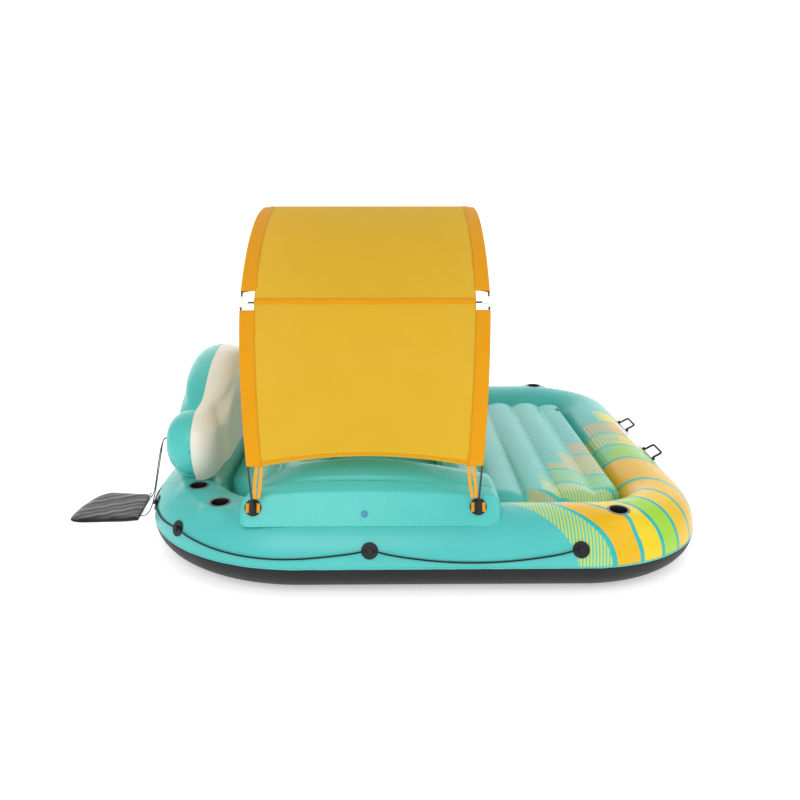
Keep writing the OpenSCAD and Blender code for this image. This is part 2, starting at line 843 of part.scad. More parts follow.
// Half of the tee's run plus its gap, as an angle of a pole's bend
function tee_ang(r) = (tee_run / 2 + tee_gap) / r * 180 / PI;

// A lower pole: a straight end piece in its foot's socket, and the bent pole that leans out from it
module lower_pole(side, hand) {
    color("#3A3D42")
        mirror([0, hand == NEAR ? 1 : 0, 0])
            mirror([side == REAR ? 1 : 0, 0, 0])
                translate([side * canopy_x + feet_x, foot_y, spring_z])
                    union() {
                        translate([0, 0, socket_low + gap - spring_z])
                            cylinder(h = spring_z - socket_low - gap, d = pole_d, $fn = 48);
                        rotate([0, lower_lean, 0])
                            translate([0, -lower_r, lean_start])
                                bent(lower_r, 0, lower_ang - tee_ang(lower_r), pole_d);
                    }
}

module upper_pole(side, hand) {
    color("#3A3D42")
        mirror([0, hand == NEAR ? 1 : 0, 0])
            translate([canopy_x + side * hoop_x, 0, hoop_h - upper_r])
                bent(upper_r, 90 - upper_ang + tee_ang(upper_r), 90 - tee_ang(upper_r), pole_d);
}

// A tee: a run along the hoop and a branch towards the other hoop, which takes the cross bar
module tee(side, y, z, turn) {
    color("#E8E6DF")
        translate([canopy_x + side * hoop_x, y, z])
            rotate([turn, 0, 0])
                difference() {
                    union() {
                        rotate([90, 0, 0])
                            cylinder(h = tee_run, r = tee_r, center = true, $fn = 48);
                        rotate([0, -90 * side, 0])
                            cylinder(h = tee_reach, r = tee_r, $fn = 48);
                    }
                    rotate([0, -90 * side, 0])
                        translate([0, 0, tee_reach - 20])
                            cylinder(h = 40, d = pole_d + 2 * run_gap, $fn = 48);
                }
}

module side_tee(side, hand) {
    tee(side, hand * mid_y, mid_z, -hand * upper_ang);
}

module cross_bar(y, z) {
    length = hoop_span - 2 * (tee_reach - 20) - 2 * gap;
    color("#3A3D42")
        translate([canopy_x, y, z])
            rotate([0, 90, 0])
                cylinder(h = length, d = pole_d, center = true, $fn = 48);
}

// Cloth surface: across the hoops it follows the poles' two bends, a little outside them
function lower_cloth(ang, off) = [
    foot_y - lower_r + (lower_r + off) * cos(ang),
    spring_z + (lean_start + (lower_r + off) * sin(ang)) * cos(lower_lean)
];
function upper_cloth(ang, off) = [
    (upper_r + off) * cos(ang),
    hoop_h - upper_r + (upper_r + off) * sin(ang)
];
function cloth_half_x(z) =
    mix(feet_x, hoop_x, min(1, (z - spring_z) / (mid_z - spring_z))) - cloth_side_gap;
function cloth_side(off) = concat(
    [for (k = [0:cloth_steps]) lower_cloth(mix(hem_ang, lower_ang, k / cloth_steps), off)],
    [for (k = [1:cloth_steps]) upper_cloth(mix(90 - upper_ang, 90, k / cloth_steps), off)]
);
function cloth_rows(off) =
    let (half = cloth_side(off), n = len(half))
    let (run = concat(
        [for (p = half) [-p[0], p[1]]],
        [for (k = [n - 2:-1:0]) half[k]]
    ))
    [for (p = run) [
        [canopy_x + cloth_half_x(p[1]), p[0], p[1]],
        [canopy_x - cloth_half_x(p[1]), p[0], p[1]]
    ]];

module canopy_sheet() {
    color(amber)
        slab(cloth_rows(cloth_off + cloth_t / 2), cloth_rows(cloth_off - cloth_t / 2));
}

// Webbing strip between two points that share one distance from the middle plane
module webbing(from, to) {
    run = to - from;
    lean = atan2(run.x, run.z);
    tip = asin(run.y / norm(run));
    translate(from)
        rotate([0, lean, 0])
            rotate([-tip, 0, 0])
                translate([-strap_w / 2, -strap_t / 2, 0])
                    cube([strap_w, strap_t, norm(run)]);
}

module canopy_straps() {
    hem_y = lower_cloth(hem_ang, cloth_off)[0];
    color(amber)
        for (side = [REAR, FRONT]) for (hand = [NEAR, FAR])
            for (spread = [-1, 1])
                webbing(
                    [canopy_x + side * (feet_x - 22) + spread * 9, hand * hem_y, strap_low],
                    [canopy_x + side * (feet_x - 42) + spread * 11, hand * hem_y, strap_top]
                );
}

// Webbing loops that stay on the feet's discs
module lash_loops() {
    loop_in = 17.5;
    color(amber)
        for (side = [REAR, FRONT]) for (hand = [NEAR, FAR])
            base_frame(side, hand)
                for (x = [-loop_in - strap_w, loop_in])
                    translate([x, -24, base_t + gap])
                        cube([strap_w, 44, strap_t]);
}

module ballast_anchor() {
    back_x = -hull_l / 2 + 275 - 0.54 * back_t - gap;
    color(black)
        translate([back_x, anchor.y, anchor.z])
            rotate([0, -90, 0])
                difference() {
                    union() {
                        cylinder(h = 3, d = 46, $fn = 48);
                        cylinder(h = 12, d = 22, $fn = 48);
                    }
                    translate([0, 0, 3])
                        cylinder(h = 20, d = 16, $fn = 32);
                }
}

module ballast_bag() {
    color(black)
        linear_extrude(height = bag_t)
            polygon(BAG);
}

module near_ballast_cord() {
    color(black)
        line_tube(NEAR_LINE, line_d, 8, line_ref);
}

module far_ballast_cord() {
    color(black)
        line_tube(FAR_LINE, line_d, 8, line_ref);
}

hull_tube();
hull_underside();
sun_deck();
rear_seat();
footwell_floor();
bolster(NEAR);  // near_bolster
bolster(FAR);  // far_bolster
backrest_front();
backrest_back();
cup_holder(CUPS[0]);  // near_rear_cup
cup_holder(CUPS[1]);  // near_corner_cup
cup_holder(CUPS[2]);  // near_front_cup
cup_holder(CUPS[3]);  // far_rear_cup
cup_holder(CUPS[4]);  // far_corner_cup
cup_holder(CUPS[5]);  // far_front_cup
valve_bases();
valve_cap(VALVES[0]);  // hull_valve_cap
valve_cap(VALVES[1]);  // deck_valve_cap
valve_cap(VALVES[2]);  // seat_valve_cap
valve_cap(VALVES[3]);  // near_bolster_valve_cap
valve_cap(VALVES[4]);  // far_bolster_valve_cap
valve_cap(VALVES[5]);  // backrest_valve_cap
rope_guides();
grab_rope();
handle(-handle_y);  // near_handle
handle(handle_y);  // far_handle
handle_patches();
boarding_patch();
canopy_bases();
canopy_foot(REAR, NEAR);  // near_rear_foot
canopy_foot(FRONT, NEAR);  // near_front_foot
canopy_foot(REAR, FAR);  // far_rear_foot
canopy_foot(FRONT, FAR);  // far_front_foot
lower_pole(REAR, NEAR);  // near_rear_lower_pole
lower_pole(FRONT, NEAR);  // near_front_lower_pole
lower_pole(REAR, FAR);  // far_rear_lower_pole
lower_pole(FRONT, FAR);  // far_front_lower_pole
upper_pole(REAR, NEAR);  // near_rear_upper_pole
upper_pole(FRONT, NEAR);  // near_front_upper_pole
upper_pole(REAR, FAR);  // far_rear_upper_pole
upper_pole(FRONT, FAR);  // far_front_upper_pole
side_tee(REAR, NEAR);  // near_rear_tee
side_tee(FRONT, NEAR);  // near_front_tee
side_tee(REAR, FAR);  // far_rear_tee
side_tee(FRONT, FAR);  // far_front_tee
tee(REAR, 0, hoop_h, 0);  // rear_ridge_tee
tee(FRONT, 0, hoop_h, 0);  // front_ridge_tee
cross_bar(-mid_y, mid_z);  // near_cross_bar
cross_bar(0, hoop_h);  // ridge_cross_bar
cross_bar(mid_y, mid_z);  // far_cross_bar
canopy_sheet();
canopy_straps();
lash_loops();
ballast_anchor();
ballast_bag();
near_ballast_cord();
far_ballast_cord();
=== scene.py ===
"""Looks of an inflatable floating lounge island with a sun canopy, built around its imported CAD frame.

All lengths are in metres, in the CAD row frame: +X towards the sun deck's front rim, +Y towards the far side, +Z up.
"""

import math

import bpy
import numpy as np
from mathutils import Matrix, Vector


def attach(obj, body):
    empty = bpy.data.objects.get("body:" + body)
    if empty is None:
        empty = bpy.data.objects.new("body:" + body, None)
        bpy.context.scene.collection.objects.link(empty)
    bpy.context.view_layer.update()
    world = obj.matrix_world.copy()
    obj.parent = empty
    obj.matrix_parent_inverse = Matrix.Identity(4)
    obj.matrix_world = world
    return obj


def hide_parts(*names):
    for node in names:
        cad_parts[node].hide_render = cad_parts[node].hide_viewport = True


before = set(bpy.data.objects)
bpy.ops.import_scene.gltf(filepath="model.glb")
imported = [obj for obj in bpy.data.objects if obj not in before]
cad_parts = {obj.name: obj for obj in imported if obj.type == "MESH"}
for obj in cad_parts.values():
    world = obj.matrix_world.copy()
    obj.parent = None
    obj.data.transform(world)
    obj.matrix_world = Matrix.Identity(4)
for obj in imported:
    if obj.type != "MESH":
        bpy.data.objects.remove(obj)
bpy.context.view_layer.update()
SCENE = bpy.context.scene

# ---------------------------------------------------------------- sizes of the object, as in the CAD part
HULL_L, HULL_W, RING_H, SEAM_Z = 2.910, 2.650, 0.378, 0.160
SIDE_W, FRONT_W, REAR_W = 0.440, 0.368, 0.420
OUTER_CORNER = {1: (0.670, 0.588), -1: (0.868, 0.805)}
INNER_CORNER = {1: (0.200, 0.200), -1: (0.448, 0.385)}
ROLL_IN, SHEET_T, GAP = 0.205, 0.012, 0.0003
SHOULDER_H, BOLSTER_H = 0.465, 0.585
CANOPY_X, FEET_SPAN, HOOP_SPAN, HOOP_H = -0.270, 1.068, 1.190, 1.750
POLE_D, HEM_Z = 0.009, 0.632
BACK_T, BACK_TOP, LOBE_Y, LOBE_R, LOBE_Z = 0.284, 0.940, 0.655, 0.175, 0.560
SEAM_X = -HULL_L / 2 + 0.275
CUP_R, CUP_DEPTH = 0.042, 0.092
CUP_TOP = RING_H + GAP
CUP_PLACES = {"rear": (-1.153, 0.822), "corner": (-0.997, 1.038), "front": (0.951, 1.151)}

FACET_LOW, FACET_HIGH = (0.226, RING_H * 0.895 + 0.023), (0.336, SHOULDER_H)
FACET_LEAN = math.atan((FACET_HIGH[0] - FACET_LOW[0]) * SIDE_W / (FACET_HIGH[1] - FACET_LOW[1]))
FOOT_Z = (FACET_LOW[1] + FACET_HIGH[1]) / 2 + 0.005
FACET_SLOPE = (FACET_HIGH[1] - FACET_LOW[1]) / (FACET_HIGH[0] - FACET_LOW[0])
BASE_Y = HULL_W / 2 - SIDE_W * (FACET_LOW[0] + (FOOT_Z - FACET_LOW[1]) / FACET_SLOPE)
FOOT_Y, FOOT_TOP = BASE_Y + 0.022, FOOT_Z + 0.050
SPRING_Z = FOOT_TOP + 0.002
MID_Y, MID_Z = 0.73 * FOOT_Y, SPRING_Z + 0.684 * (HOOP_H - SPRING_Z)
LOWER_LEAN = math.atan((HOOP_SPAN - FEET_SPAN) / 2 / (MID_Z - SPRING_Z))
LEAN_START = POLE_D / 2 * math.sin(LOWER_LEAN) + 0.00005
LOWER_RISE = math.hypot(MID_Z - SPRING_Z, (HOOP_SPAN - FEET_SPAN) / 2) - LEAN_START
LOWER_RUN = FOOT_Y - MID_Y
LOWER_R = (LOWER_RISE**2 + LOWER_RUN**2) / (2 * LOWER_RUN)
LOWER_ANG = math.asin(LOWER_RISE / LOWER_R)
UPPER_DROP = HOOP_H - MID_Z
UPPER_R = (UPPER_DROP**2 + MID_Y**2) / (2 * UPPER_DROP)
UPPER_ANG = math.asin(MID_Y / UPPER_R)
HEM_ANG = math.asin((HEM_Z - SPRING_Z) / LOWER_R)


# ---------------------------------------------------------------- camera, first
def make_camera():
    data = bpy.data.cameras.new("camera")
    data.lens = 34.58
    data.sensor_width = 36
    camera = bpy.data.objects.new("camera", data)
    camera.location = (-0.148, -4.561, 1.925)
    camera.rotation_euler = (math.pi / 2 - 0.283, 0, -0.012)
    SCENE.collection.objects.link(camera)
    SCENE.camera = camera


make_camera()


# ---------------------------------------------------------------- small helpers
def srgb(code):
    """Linear RGBA from an sRGB hex colour: up to 0.04045 a channel is divided by 12.92, past that it follows the 2.4 power."""
    channel = np.array([int(code[i : i + 2], 16) / 255 for i in (1, 3, 5)])
    linear = np.where(channel <= 0.04045, channel / 12.92, ((channel + 0.055) / 1.055) ** 2.4)
    return (*linear.tolist(), 1.0)


def wire(material, node, into):
    """Sets or links a node's inputs: into maps an input's name or number to a value or to another node's output."""
    for key, value in into.items():
        if isinstance(value, bpy.types.NodeSocket):
            material.node_tree.links.new(value, node.inputs[key])
        else:
            node.inputs[key].default_value = value


def add(material, kind, into=None, **settings):
    """Adds one node, sets its attributes and wires its inputs."""
    node = material.node_tree.nodes.new(kind)
    for key, value in settings.items():
        setattr(node, key, value)
    wire(material, node, into or {})
    return node


def blank(name):
    """A material with only its Principled shader and output; returns the material and the shader."""
    material = bpy.data.materials.new(name)
    material.use_nodes = True
    return material, material.node_tree.nodes["Principled BSDF"]


def run_along(points):
    """Distance along a line of points, from zero at the first: the sum of the steps between them."""
    return np.concatenate([[0], np.cumsum(np.linalg.norm(np.diff(points, axis=0), axis=1))])


def smooth_line(points, count):
    """Evenly spaced points on the Catmull-Rom cubic through the given ones: tangents are half the neighbours' chord."""
    p = np.asarray(points, float)
    ghost = np.vstack([2 * p[0] - p[1], p, 2 * p[-1] - p[-2]])
    t = np.linspace(0, len(p) - 1, max(8 * len(p), 4 * count))
    k = np.minimum(t.astype(int), len(p) - 2)
    f = (t - k)[:, None]
    a, b, c, d = ghost[k], ghost[k + 1], ghost[k + 2], ghost[k + 3]
    line = 0.5 * (2 * b + (c - a) * f + (2 * a - 5 * b + 4 * c - d) * f**2 + (3 * b - a - 3 * c + d) * f**3)
    run = run_along(line)
    at = np.linspace(0, run[-1], count)
    return np.stack([np.interp(at, run, line[:, i]) for i in range(p.shape[1])], 1)


def grid_faces(rows, cols, wrap_rows=False, wrap_cols=False, start=0):
    """Quads between neighbours in a rows by cols grid, anticlockwise when rows run right and columns run up."""
    i = np.arange(rows if wrap_rows else rows - 1)[:, None]
    j = np.arange(cols if wrap_cols else cols - 1)[None, :]
    i2, j2 = (i + 1) % rows, (j + 1) % cols
    quads = np.stack([i * cols + j, i2 * cols + j, i2 * cols + j2, i * cols + j2], -1)
    return quads.reshape(-1, 4) + start


def outward(mesh):
    """Turns a closed mesh's faces outwards by the sign of its volume, the sum of its corner determinants over six."""
    mesh.calc_loop_triangles()
    co = np.empty(len(mesh.vertices) * 3)
    mesh.vertices.foreach_get("co", co)
    tri = np.empty(len(mesh.loop_triangles) * 3, np.int32)
    mesh.loop_triangles.foreach_get("vertices", tri)
    a, b, c = co.reshape(-1, 3)[tri.reshape(-1, 3)].transpose(1, 0, 2)
    if (a * np.cross(b, c)).sum() < 0:
        mesh.flip_normals()


def piece(name, points, faces, material, uv=None):
    """A closed mesh object at the origin from points and a list of face arrays; uv gives one pair per point."""
    mesh = bpy.data.meshes.new(name)
    points = np.asarray(points, float).reshape(-1, 3)
    faces = [f for group in faces for f in np.asarray(group).tolist()]
    mesh.from_pydata(points.tolist(), [], faces)
    if uv is not None:
        layer = mesh.uv_layers.new(name="UVMap")
        corner = np.empty(len(mesh.loops), np.int32)
        mesh.loops.foreach_get("vertex_index", corner)
        layer.data.foreach_set("uv", np.asarray(uv, float).reshape(-1, 2)[corner].ravel())
    mesh.polygons.foreach_set("use_smooth", np.full(len(mesh.polygons), True))
    mesh.materials.append(material)
    mesh.update()
    outward(mesh)
    made = bpy.data.objects.new(name, mesh)
    SCENE.collection.objects.link(made)
    return made


def shell(name, upper, lower, material, uv=None):
    """A closed body between two matching grids: the upper skin, the lower skin turned over, and quads round the rim."""
    rows, cols = upper.shape[:2]
    count = rows * cols
    top = grid_faces(rows, cols)
    bottom = grid_faces(rows, cols, start=count)[:, ::-1]
    edge = np.concatenate(
        [
            np.arange(cols),
            np.arange(1, rows) * cols + cols - 1,
            (rows - 1) * cols + np.arange(cols - 2, -1, -1),
            np.arange(rows - 2, 0, -1) * cols,
        ]
    )
    ahead = np.roll(edge, -1)
    sides = np.stack([edge, ahead, ahead + count, edge + count], 1)
    points = np.concatenate([upper.reshape(-1, 3), lower.reshape(-1, 3)])
    uv = None if uv is None else np.concatenate([uv.reshape(-1, 2)] * 2)
    return piece(name, points, [top, bottom, sides], material, uv)


def capped(name, rows, material, ends=None, uv=None):
    """A closed body from rows of points that wrap round: neighbouring rows are joined, and the first and last row each
    close on an end point, their own mean where no ends are given."""
    rows = np.asarray(rows, float)
    total, count = rows.shape[:2]
    loop = np.arange(count)
    ahead = (loop + 1) % count
    last = (total - 1) * count
    first_cap = np.stack([loop, ahead, np.full(count, total * count)], 1)
    last_cap = np.stack([last + ahead, last + loop, np.full(count, total * count + 1)], 1)
    points = np.concatenate([rows.reshape(-1, 3), [rows[0].mean(0), rows[-1].mean(0)] if ends is None else ends])
    return piece(name, points, [grid_faces(total, count, wrap_cols=True), first_cap, last_cap], material, uv)


def joined(name, parts):
    """Joins several closed pieces into the first, under one name."""
    bpy.ops.object.select_all(action="DESELECT")
    for part in parts:
        part.select_set(True)
    bpy.context.view_layer.objects.active = parts[0]
    bpy.ops.object.join()
    parts[0].name = name
    return parts[0]


def tube(name, path, radius, sides, material, reference=(0, 0, 1), strands=0, lay=0.03, depth=0.0):
    """A round line: circles square to the path and a pole at each end. The radius ripples by depth times the cosine of
    strands times the angle less a full turn per lay length."""
    path = np.asarray(path, float)
    tangent = np.gradient(path, axis=0)
    tangent /= np.linalg.norm(tangent, axis=1)[:, None]
    across = np.cross(tangent, np.asarray(reference, float))
    across /= np.linalg.norm(across, axis=1)[:, None]
    over = np.cross(tangent, across)
    run = run_along(path)
    angle = np.linspace(0, 2 * np.pi, sides, endpoint=False)
    ripple = 1 + depth * np.cos(strands * (angle[None, :] - 2 * np.pi * run[:, None] / lay))
    ring = np.cos(angle)[None, :, None] * across[:, None] + np.sin(angle)[None, :, None] * over[:, None]
    points = path[:, None] + radius * ripple[..., None] * ring
    uv = np.stack(np.broadcast_arrays(angle[None, :] / (2 * np.pi), run[:, None]), -1).reshape(-1, 2)
    return capped(name, points, material, path[[0, -1]], np.concatenate([uv, [[0.5, 0], [0.5, run[-1]]]]))


def ribbon(name, path, side, width, thick, material):
    """A strap: its rectangle is swept along the path, side gives the direction of its width at each point."""
    path, side = np.asarray(path, float), np.asarray(side, float)
    tangent = np.gradient(path, axis=0)
    tangent /= np.linalg.norm(tangent, axis=1)[:, None]
    side = side - (side * tangent).sum(1)[:, None] * tangent
    side /= np.linalg.norm(side, axis=1)[:, None]
    face = np.cross(tangent, side)
    across = np.linspace(-0.5, 0.5, 7)
    bow = 1 - (2 * np.abs(across)) ** 4
    run = run_along(path)
    flat = path[:, None] + (across * width)[None, :, None] * side[:, None]
    lift = (thick / 2 * (0.55 + 0.45 * bow))[None, :, None] * face[:, None]
    uv = np.stack(np.broadcast_arrays((across * width)[None, :], run[:, None]), -1)
    return shell(name, flat + lift, flat - lift, material, uv)


def fit(made, body, node=None):
    """Puts a piece on the body it rides on, and hides the CAD node it stands for, if any."""
    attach(made, body)
    if node:
        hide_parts(node)


def wave(at, length, seed, count=5):
    """A smooth seeded ripple: a few sines of wavelengths round the given one, each with its own phase and share."""
    rng = np.random.default_rng(seed)
    total = np.zeros_like(at)
    draws = rng.uniform(0.6, 1.7, count), rng.uniform(0, 6.28, count), rng.uniform(0.4, 1, count)
    for factor, phase, share in zip(*draws):
        total = total + share * np.sin(2 * np.pi * at / (length * factor) + phase)
    return total / count


# ---------------------------------------------------------------- materials
def film_bump(material, strength, place):
    """Calendered film under air pressure: long soft buckles of about 60 mm and an orange peel of about 4 mm."""
    buckle = add(material, "ShaderNodeTexNoise", {"Vector": place, "Scale": 9.0, "Detail": 3.0, "Roughness": 0.5})
    peel = add(material, "ShaderNodeTexNoise", {"Vector": place, "Scale": 150.0, "Detail": 1.0})
    height = {"Strength": strength, "Distance": 0.006, "Height": buckle.outputs["Fac"]}
    low = add(material, "ShaderNodeBump", height)
    height = {"Strength": strength * 0.12, "Distance": 0.0006, "Height": peel.outputs["Fac"], "Normal": low.outputs[0]}
    return add(material, "ShaderNodeBump", height).outputs[0]


def film(name, code, shade, rough=0.28, strength=0.35):
    """Calendered PVC film, high-frequency welded: an even dyed colour, a little cloudy, under a soft uneven gloss."""
    material, shader = blank(name)
    place = add(material, "ShaderNodeTexCoord").outputs["Object"]
    cloud = add(material, "ShaderNodeTexNoise", {"Vector": place, "Scale": 3.0, "Detail": 2.0}).outputs["Fac"]
    tone = add(material, "ShaderNodeMix", {0: cloud, 6: srgb(code), 7: srgb(shade)}, data_type="RGBA").outputs[2]
    gloss = add(material, "ShaderNodeTexNoise", {"Vector": place, "Scale": 14.0, "Detail": 2.0}).outputs["Fac"]
    spread = add(material, "ShaderNodeMapRange", {"Value": gloss, "To Min": rough - 0.05, "To Max": rough + 0.08})
    wire(material, shader, {"Base Color": tone, "Roughness": spread.outputs[0], "IOR": 1.53, "Specular IOR Level": 0.3})
    wire(material, shader, {"Normal": film_bump(material, strength, place)})
    return material, shader, tone, place


def printed_film(name, slope, offset, solid, colours):
    """The teal film with its print: bands of colour between narrow teal stripes, hatched with lines 16 mm apart towards
    the rear. The bands run along w = y + slope x + offset, and start at x = 0.66 + 0.41 w, with w in steps of 0.23."""
    material, shader, tone, place = film(name, "#52BDB8", "#44AFAB")
    axes = add(material, "ShaderNodeSeparateXYZ", {"Vector": place}).outputs

    def reckon(kind, *values):
        return add(material, "ShaderNodeMath", dict(enumerate(values)), operation=kind).outputs[0]

    w = reckon("ADD", reckon("MULTIPLY_ADD", axes[0], slope, axes[1]), offset)
    share = add(material, "ShaderNodeMapRange", {"Value": w, "From Min": BAND_LOW, "From Max": BAND_HIGH}).outputs[0]
    ramp = add(material, "ShaderNodeValToRGB", {"Fac": share})
    bands = ramp.color_ramp
    bands.interpolation = "CONSTANT"
    stops = [(BAND_LOW, colours[0][1])]
    for edge, code in colours[1:]:
        stops += [(edge - STRIPE / 2, "#2BADA5"), (edge + STRIPE / 2, code)]
    for k, (edge, code) in enumerate(stops):
        position = (edge - BAND_LOW) / (BAND_HIGH - BAND_LOW)
        stop = bands.elements[k] if k < 2 else bands.elements.new(position)
        stop.position = position
        stop.color = srgb(code)
    begun = reckon("GREATER_THAN", axes[0], reckon("MULTIPLY_ADD", reckon("SNAP", w, 0.23), 0.41, 0.66))
    inside = reckon("MULTIPLY", reckon("GREATER_THAN", w, -0.67), reckon("LESS_THAN", w, 1.6))
    lines = reckon("LESS_THAN", reckon("FRACT", reckon("DIVIDE", axes[0], HATCH)), 0.52)
    if solid:
        edges = {"Value": axes[1], "From Min": -1.0, "From Max": -0.1, "To Min": 0.70, "To Max": 1.26}
        solid_from = add(material, "ShaderNodeMapRange", edges).outputs[0]
        full = reckon("MULTIPLY", reckon("GREATER_THAN", axes[0], solid_from), reckon("GREATER_THAN", w, -0.51))
        lines = reckon("MAXIMUM", lines, full)
        begun = reckon("MAXIMUM", begun, reckon("LESS_THAN", axes[1], -0.9))
    mask = reckon("MULTIPLY", reckon("MULTIPLY", begun, inside), lines)
    painted = add(material, "ShaderNodeMix", {0: mask, 6: tone, 7: ramp.outputs["Color"]}, data_type="RGBA")
    wire(material, shader, {"Base Color": painted.outputs[2]})
    return material


BAND_LOW, BAND_HIGH, STRIPE, HATCH = -0.8, 1.7, 0.030, 0.016
RING_BANDS = [
    (-0.80, "#C3CC3C"), (-0.510, "#DBAC05"), (-0.338, "#E0C410"), (-0.175, "#99C93C"), (-0.015, "#DFB81A"),
    (0.165, "#DDB019"), (0.360, "#D9AC25"), (0.680, "#8AC24E"), (0.910, "#CCBE2F"),
    (1.120, "#CFA047"), (1.360, "#CEC535"),
]
DECK_BANDS = [
    (-0.80, "#D5A53C"), (-0.015, "#C9C437"), (0.165, "#96C250"), (0.360, "#D8AC34"),
    (0.680, "#D09E4B"), (0.910, "#C1C540"), (1.120, "#8AC24E"), (1.360, "#D2AC25"),
]


def woven(name, code, shade, thread, rough=0.75, glow=0.0, lift=0.25, open_share=0.0):
    """Woven synthetic cloth: threads over and under on the piece's UV in metres, coarse enough to show, dyed a little
    unevenly. Thin cloth lets light through, and an open weave shows a little of what lies behind."""
    material, shader = blank(name)
    uv = add(material, "ShaderNodeTexCoord").outputs["UV"]
    threads = {"Vector": uv, "Scale": 2 * math.pi / (20 * thread), "Distortion": 0.6}
    weave = [add(material, "ShaderNodeTexWave", threads, bands_direction=way).outputs["Fac"] for way in ("X", "Y")]
    cross = add(material, "ShaderNodeMath", {0: weave[0], 1: weave[1]}, operation="MULTIPLY").outputs[0]
    cloud = add(material, "ShaderNodeTexNoise", {"Vector": uv, "Scale": 5.0, "Detail": 3.0}).outputs["Fac"]
    tone = add(material, "ShaderNodeMix", {0: cloud, 6: srgb(code), 7: srgb(shade)}, data_type="RGBA").outputs[2]
    bump = add(material, "ShaderNodeBump", {"Strength": lift, "Distance": thread * 0.25, "Height": cross}).outputs[0]
    wire(material, shader, {"Base Color": tone, "Roughness": rough, "Normal": bump})
    wire(material, shader, {"Sheen Weight": 0.05, "Specular IOR Level": 0.2})
    if glow:
        through = add(material, "ShaderNodeBsdfTranslucent", {"Color": srgb(code)})
        both = add(material, "ShaderNodeMixShader", {0: glow, 1: shader.outputs[0], 2: through.outputs[0]})
        if open_share:
            holes = add(material, "ShaderNodeBsdfTransparent")
            both = add(material, "ShaderNodeMixShader", {0: open_share, 1: both.outputs[0], 2: holes.outputs[0]})
        wire(material, material.node_tree.nodes["Material Output"], {"Surface": both.outputs[0]})
    return material


def moulded(name, code, rough, grain_mm=1.2, strength=0.15):
    """Injection-moulded plastic: one colour, a fine spark-eroded grain from the mould and slightly uneven gloss."""
    material, shader = blank(name)
    place = add(material, "ShaderNodeTexCoord").outputs["Object"]
    grain = add(material, "ShaderNodeTexNoise", {"Vector": place, "Scale": 1000 / grain_mm / 2, "Detail": 2.0})
    mottle = add(material, "ShaderNodeTexNoise", {"Vector": place, "Scale": 40.0, "Detail": 2.0}).outputs["Fac"]
    spread = add(material, "ShaderNodeMapRange", {"Value": mottle, "To Min": rough - 0.06, "To Max": rough + 0.1})
    bump = add(material, "ShaderNodeBump", {"Strength": strength, "Distance": 0.0003, "Height": grain.outputs["Fac"]})
    wire(material, shader, {"Base Color": srgb(code), "IOR": 1.5, "Specular IOR Level": 0.35})
    wire(material, shader, {"Roughness": spread.outputs[0], "Normal": bump.outputs[0]})
    return material


HULL_PRINT = printed_film("printed_pvc_film_of_the_ring", 0.9, 0.0, True, RING_BANDS)
DECK_PRINT = printed_film("printed_pvc_film_of_the_deck", 0.45, 0.504, False, DECK_BANDS)
TEAL_FILM = film("teal_pvc_film", "#52C0B9", "#44B1AB")[0]
BLACK_FILM = film("black_pvc_film", "#131417", "#0F1012", rough=0.5, strength=0.25)[0]
WHITE_FILM = film("white_pvc_film", "#E4E3D6", "#D9D8C9", rough=0.32, strength=0.3)[0]
PATCH_FILM = film("pale_pvc_patch_film", "#E6E8E2", "#D4D8D2", rough=0.3, strength=0.15)[0]
WELD_FILM = film("welded_edge_of_teal_pvc_film", "#63D6C9", "#4CC9BD", rough=0.25, strength=0.1)[0]
BAG_FILM = film("black_vinyl_of_the_bag", "#141417", "#0E0E10", rough=0.3, strength=0.8)[0]
CLOTH = woven("woven_polyester_canopy_cloth", "#E9C439", "#E4BB30", 0.004, glow=0.42, lift=0.12, open_share=0.07)
SLEEVE_CLOTH = woven("woven_polyester_sleeve_cloth", "#E39D06", "#D99305", 0.004, glow=0.15, lift=0.15)
WEBBING = woven("woven_polypropylene_webbing", "#E8A32B", "#D6932A", 0.0022, rough=0.6, lift=0.8)
ROPE = woven("braided_polypropylene_rope", "#17181A", "#26272A", 0.004, rough=0.55, lift=0.9)
FITTING = moulded("moulded_black_pvc_fitting", "#141518", 0.45)
CUP_RIM = moulded("moulded_grey_pvc_cup_rim", "#6B6E72", 0.4)
CLEAR_VALVE = moulded("moulded_clear_blue_vinyl_valve", "#4584AC", 0.3, strength=0.05)
POLE = moulded("pultruded_fibreglass_pole", "#33363B", 0.38, grain_mm=3)
NYLON = moulded("moulded_white_nylon_tee", "#ECEAE4", 0.45)

NODE_FINISHES = (
    (("valve_bases", "valve_cap"), CLEAR_VALVE),
    (("rope_guides", "_handle", "handle_patches", "canopy_bases", "ballast_anchor", "_foot"), FITTING),
    (("_pole", "_bar"), POLE),
    (("_tee",), NYLON),
)
for node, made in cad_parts.items():
    for endings, material in NODE_FINISHES:
        if node.endswith(endings):
            made.data.materials.clear()
            made.data.materials.append(material)

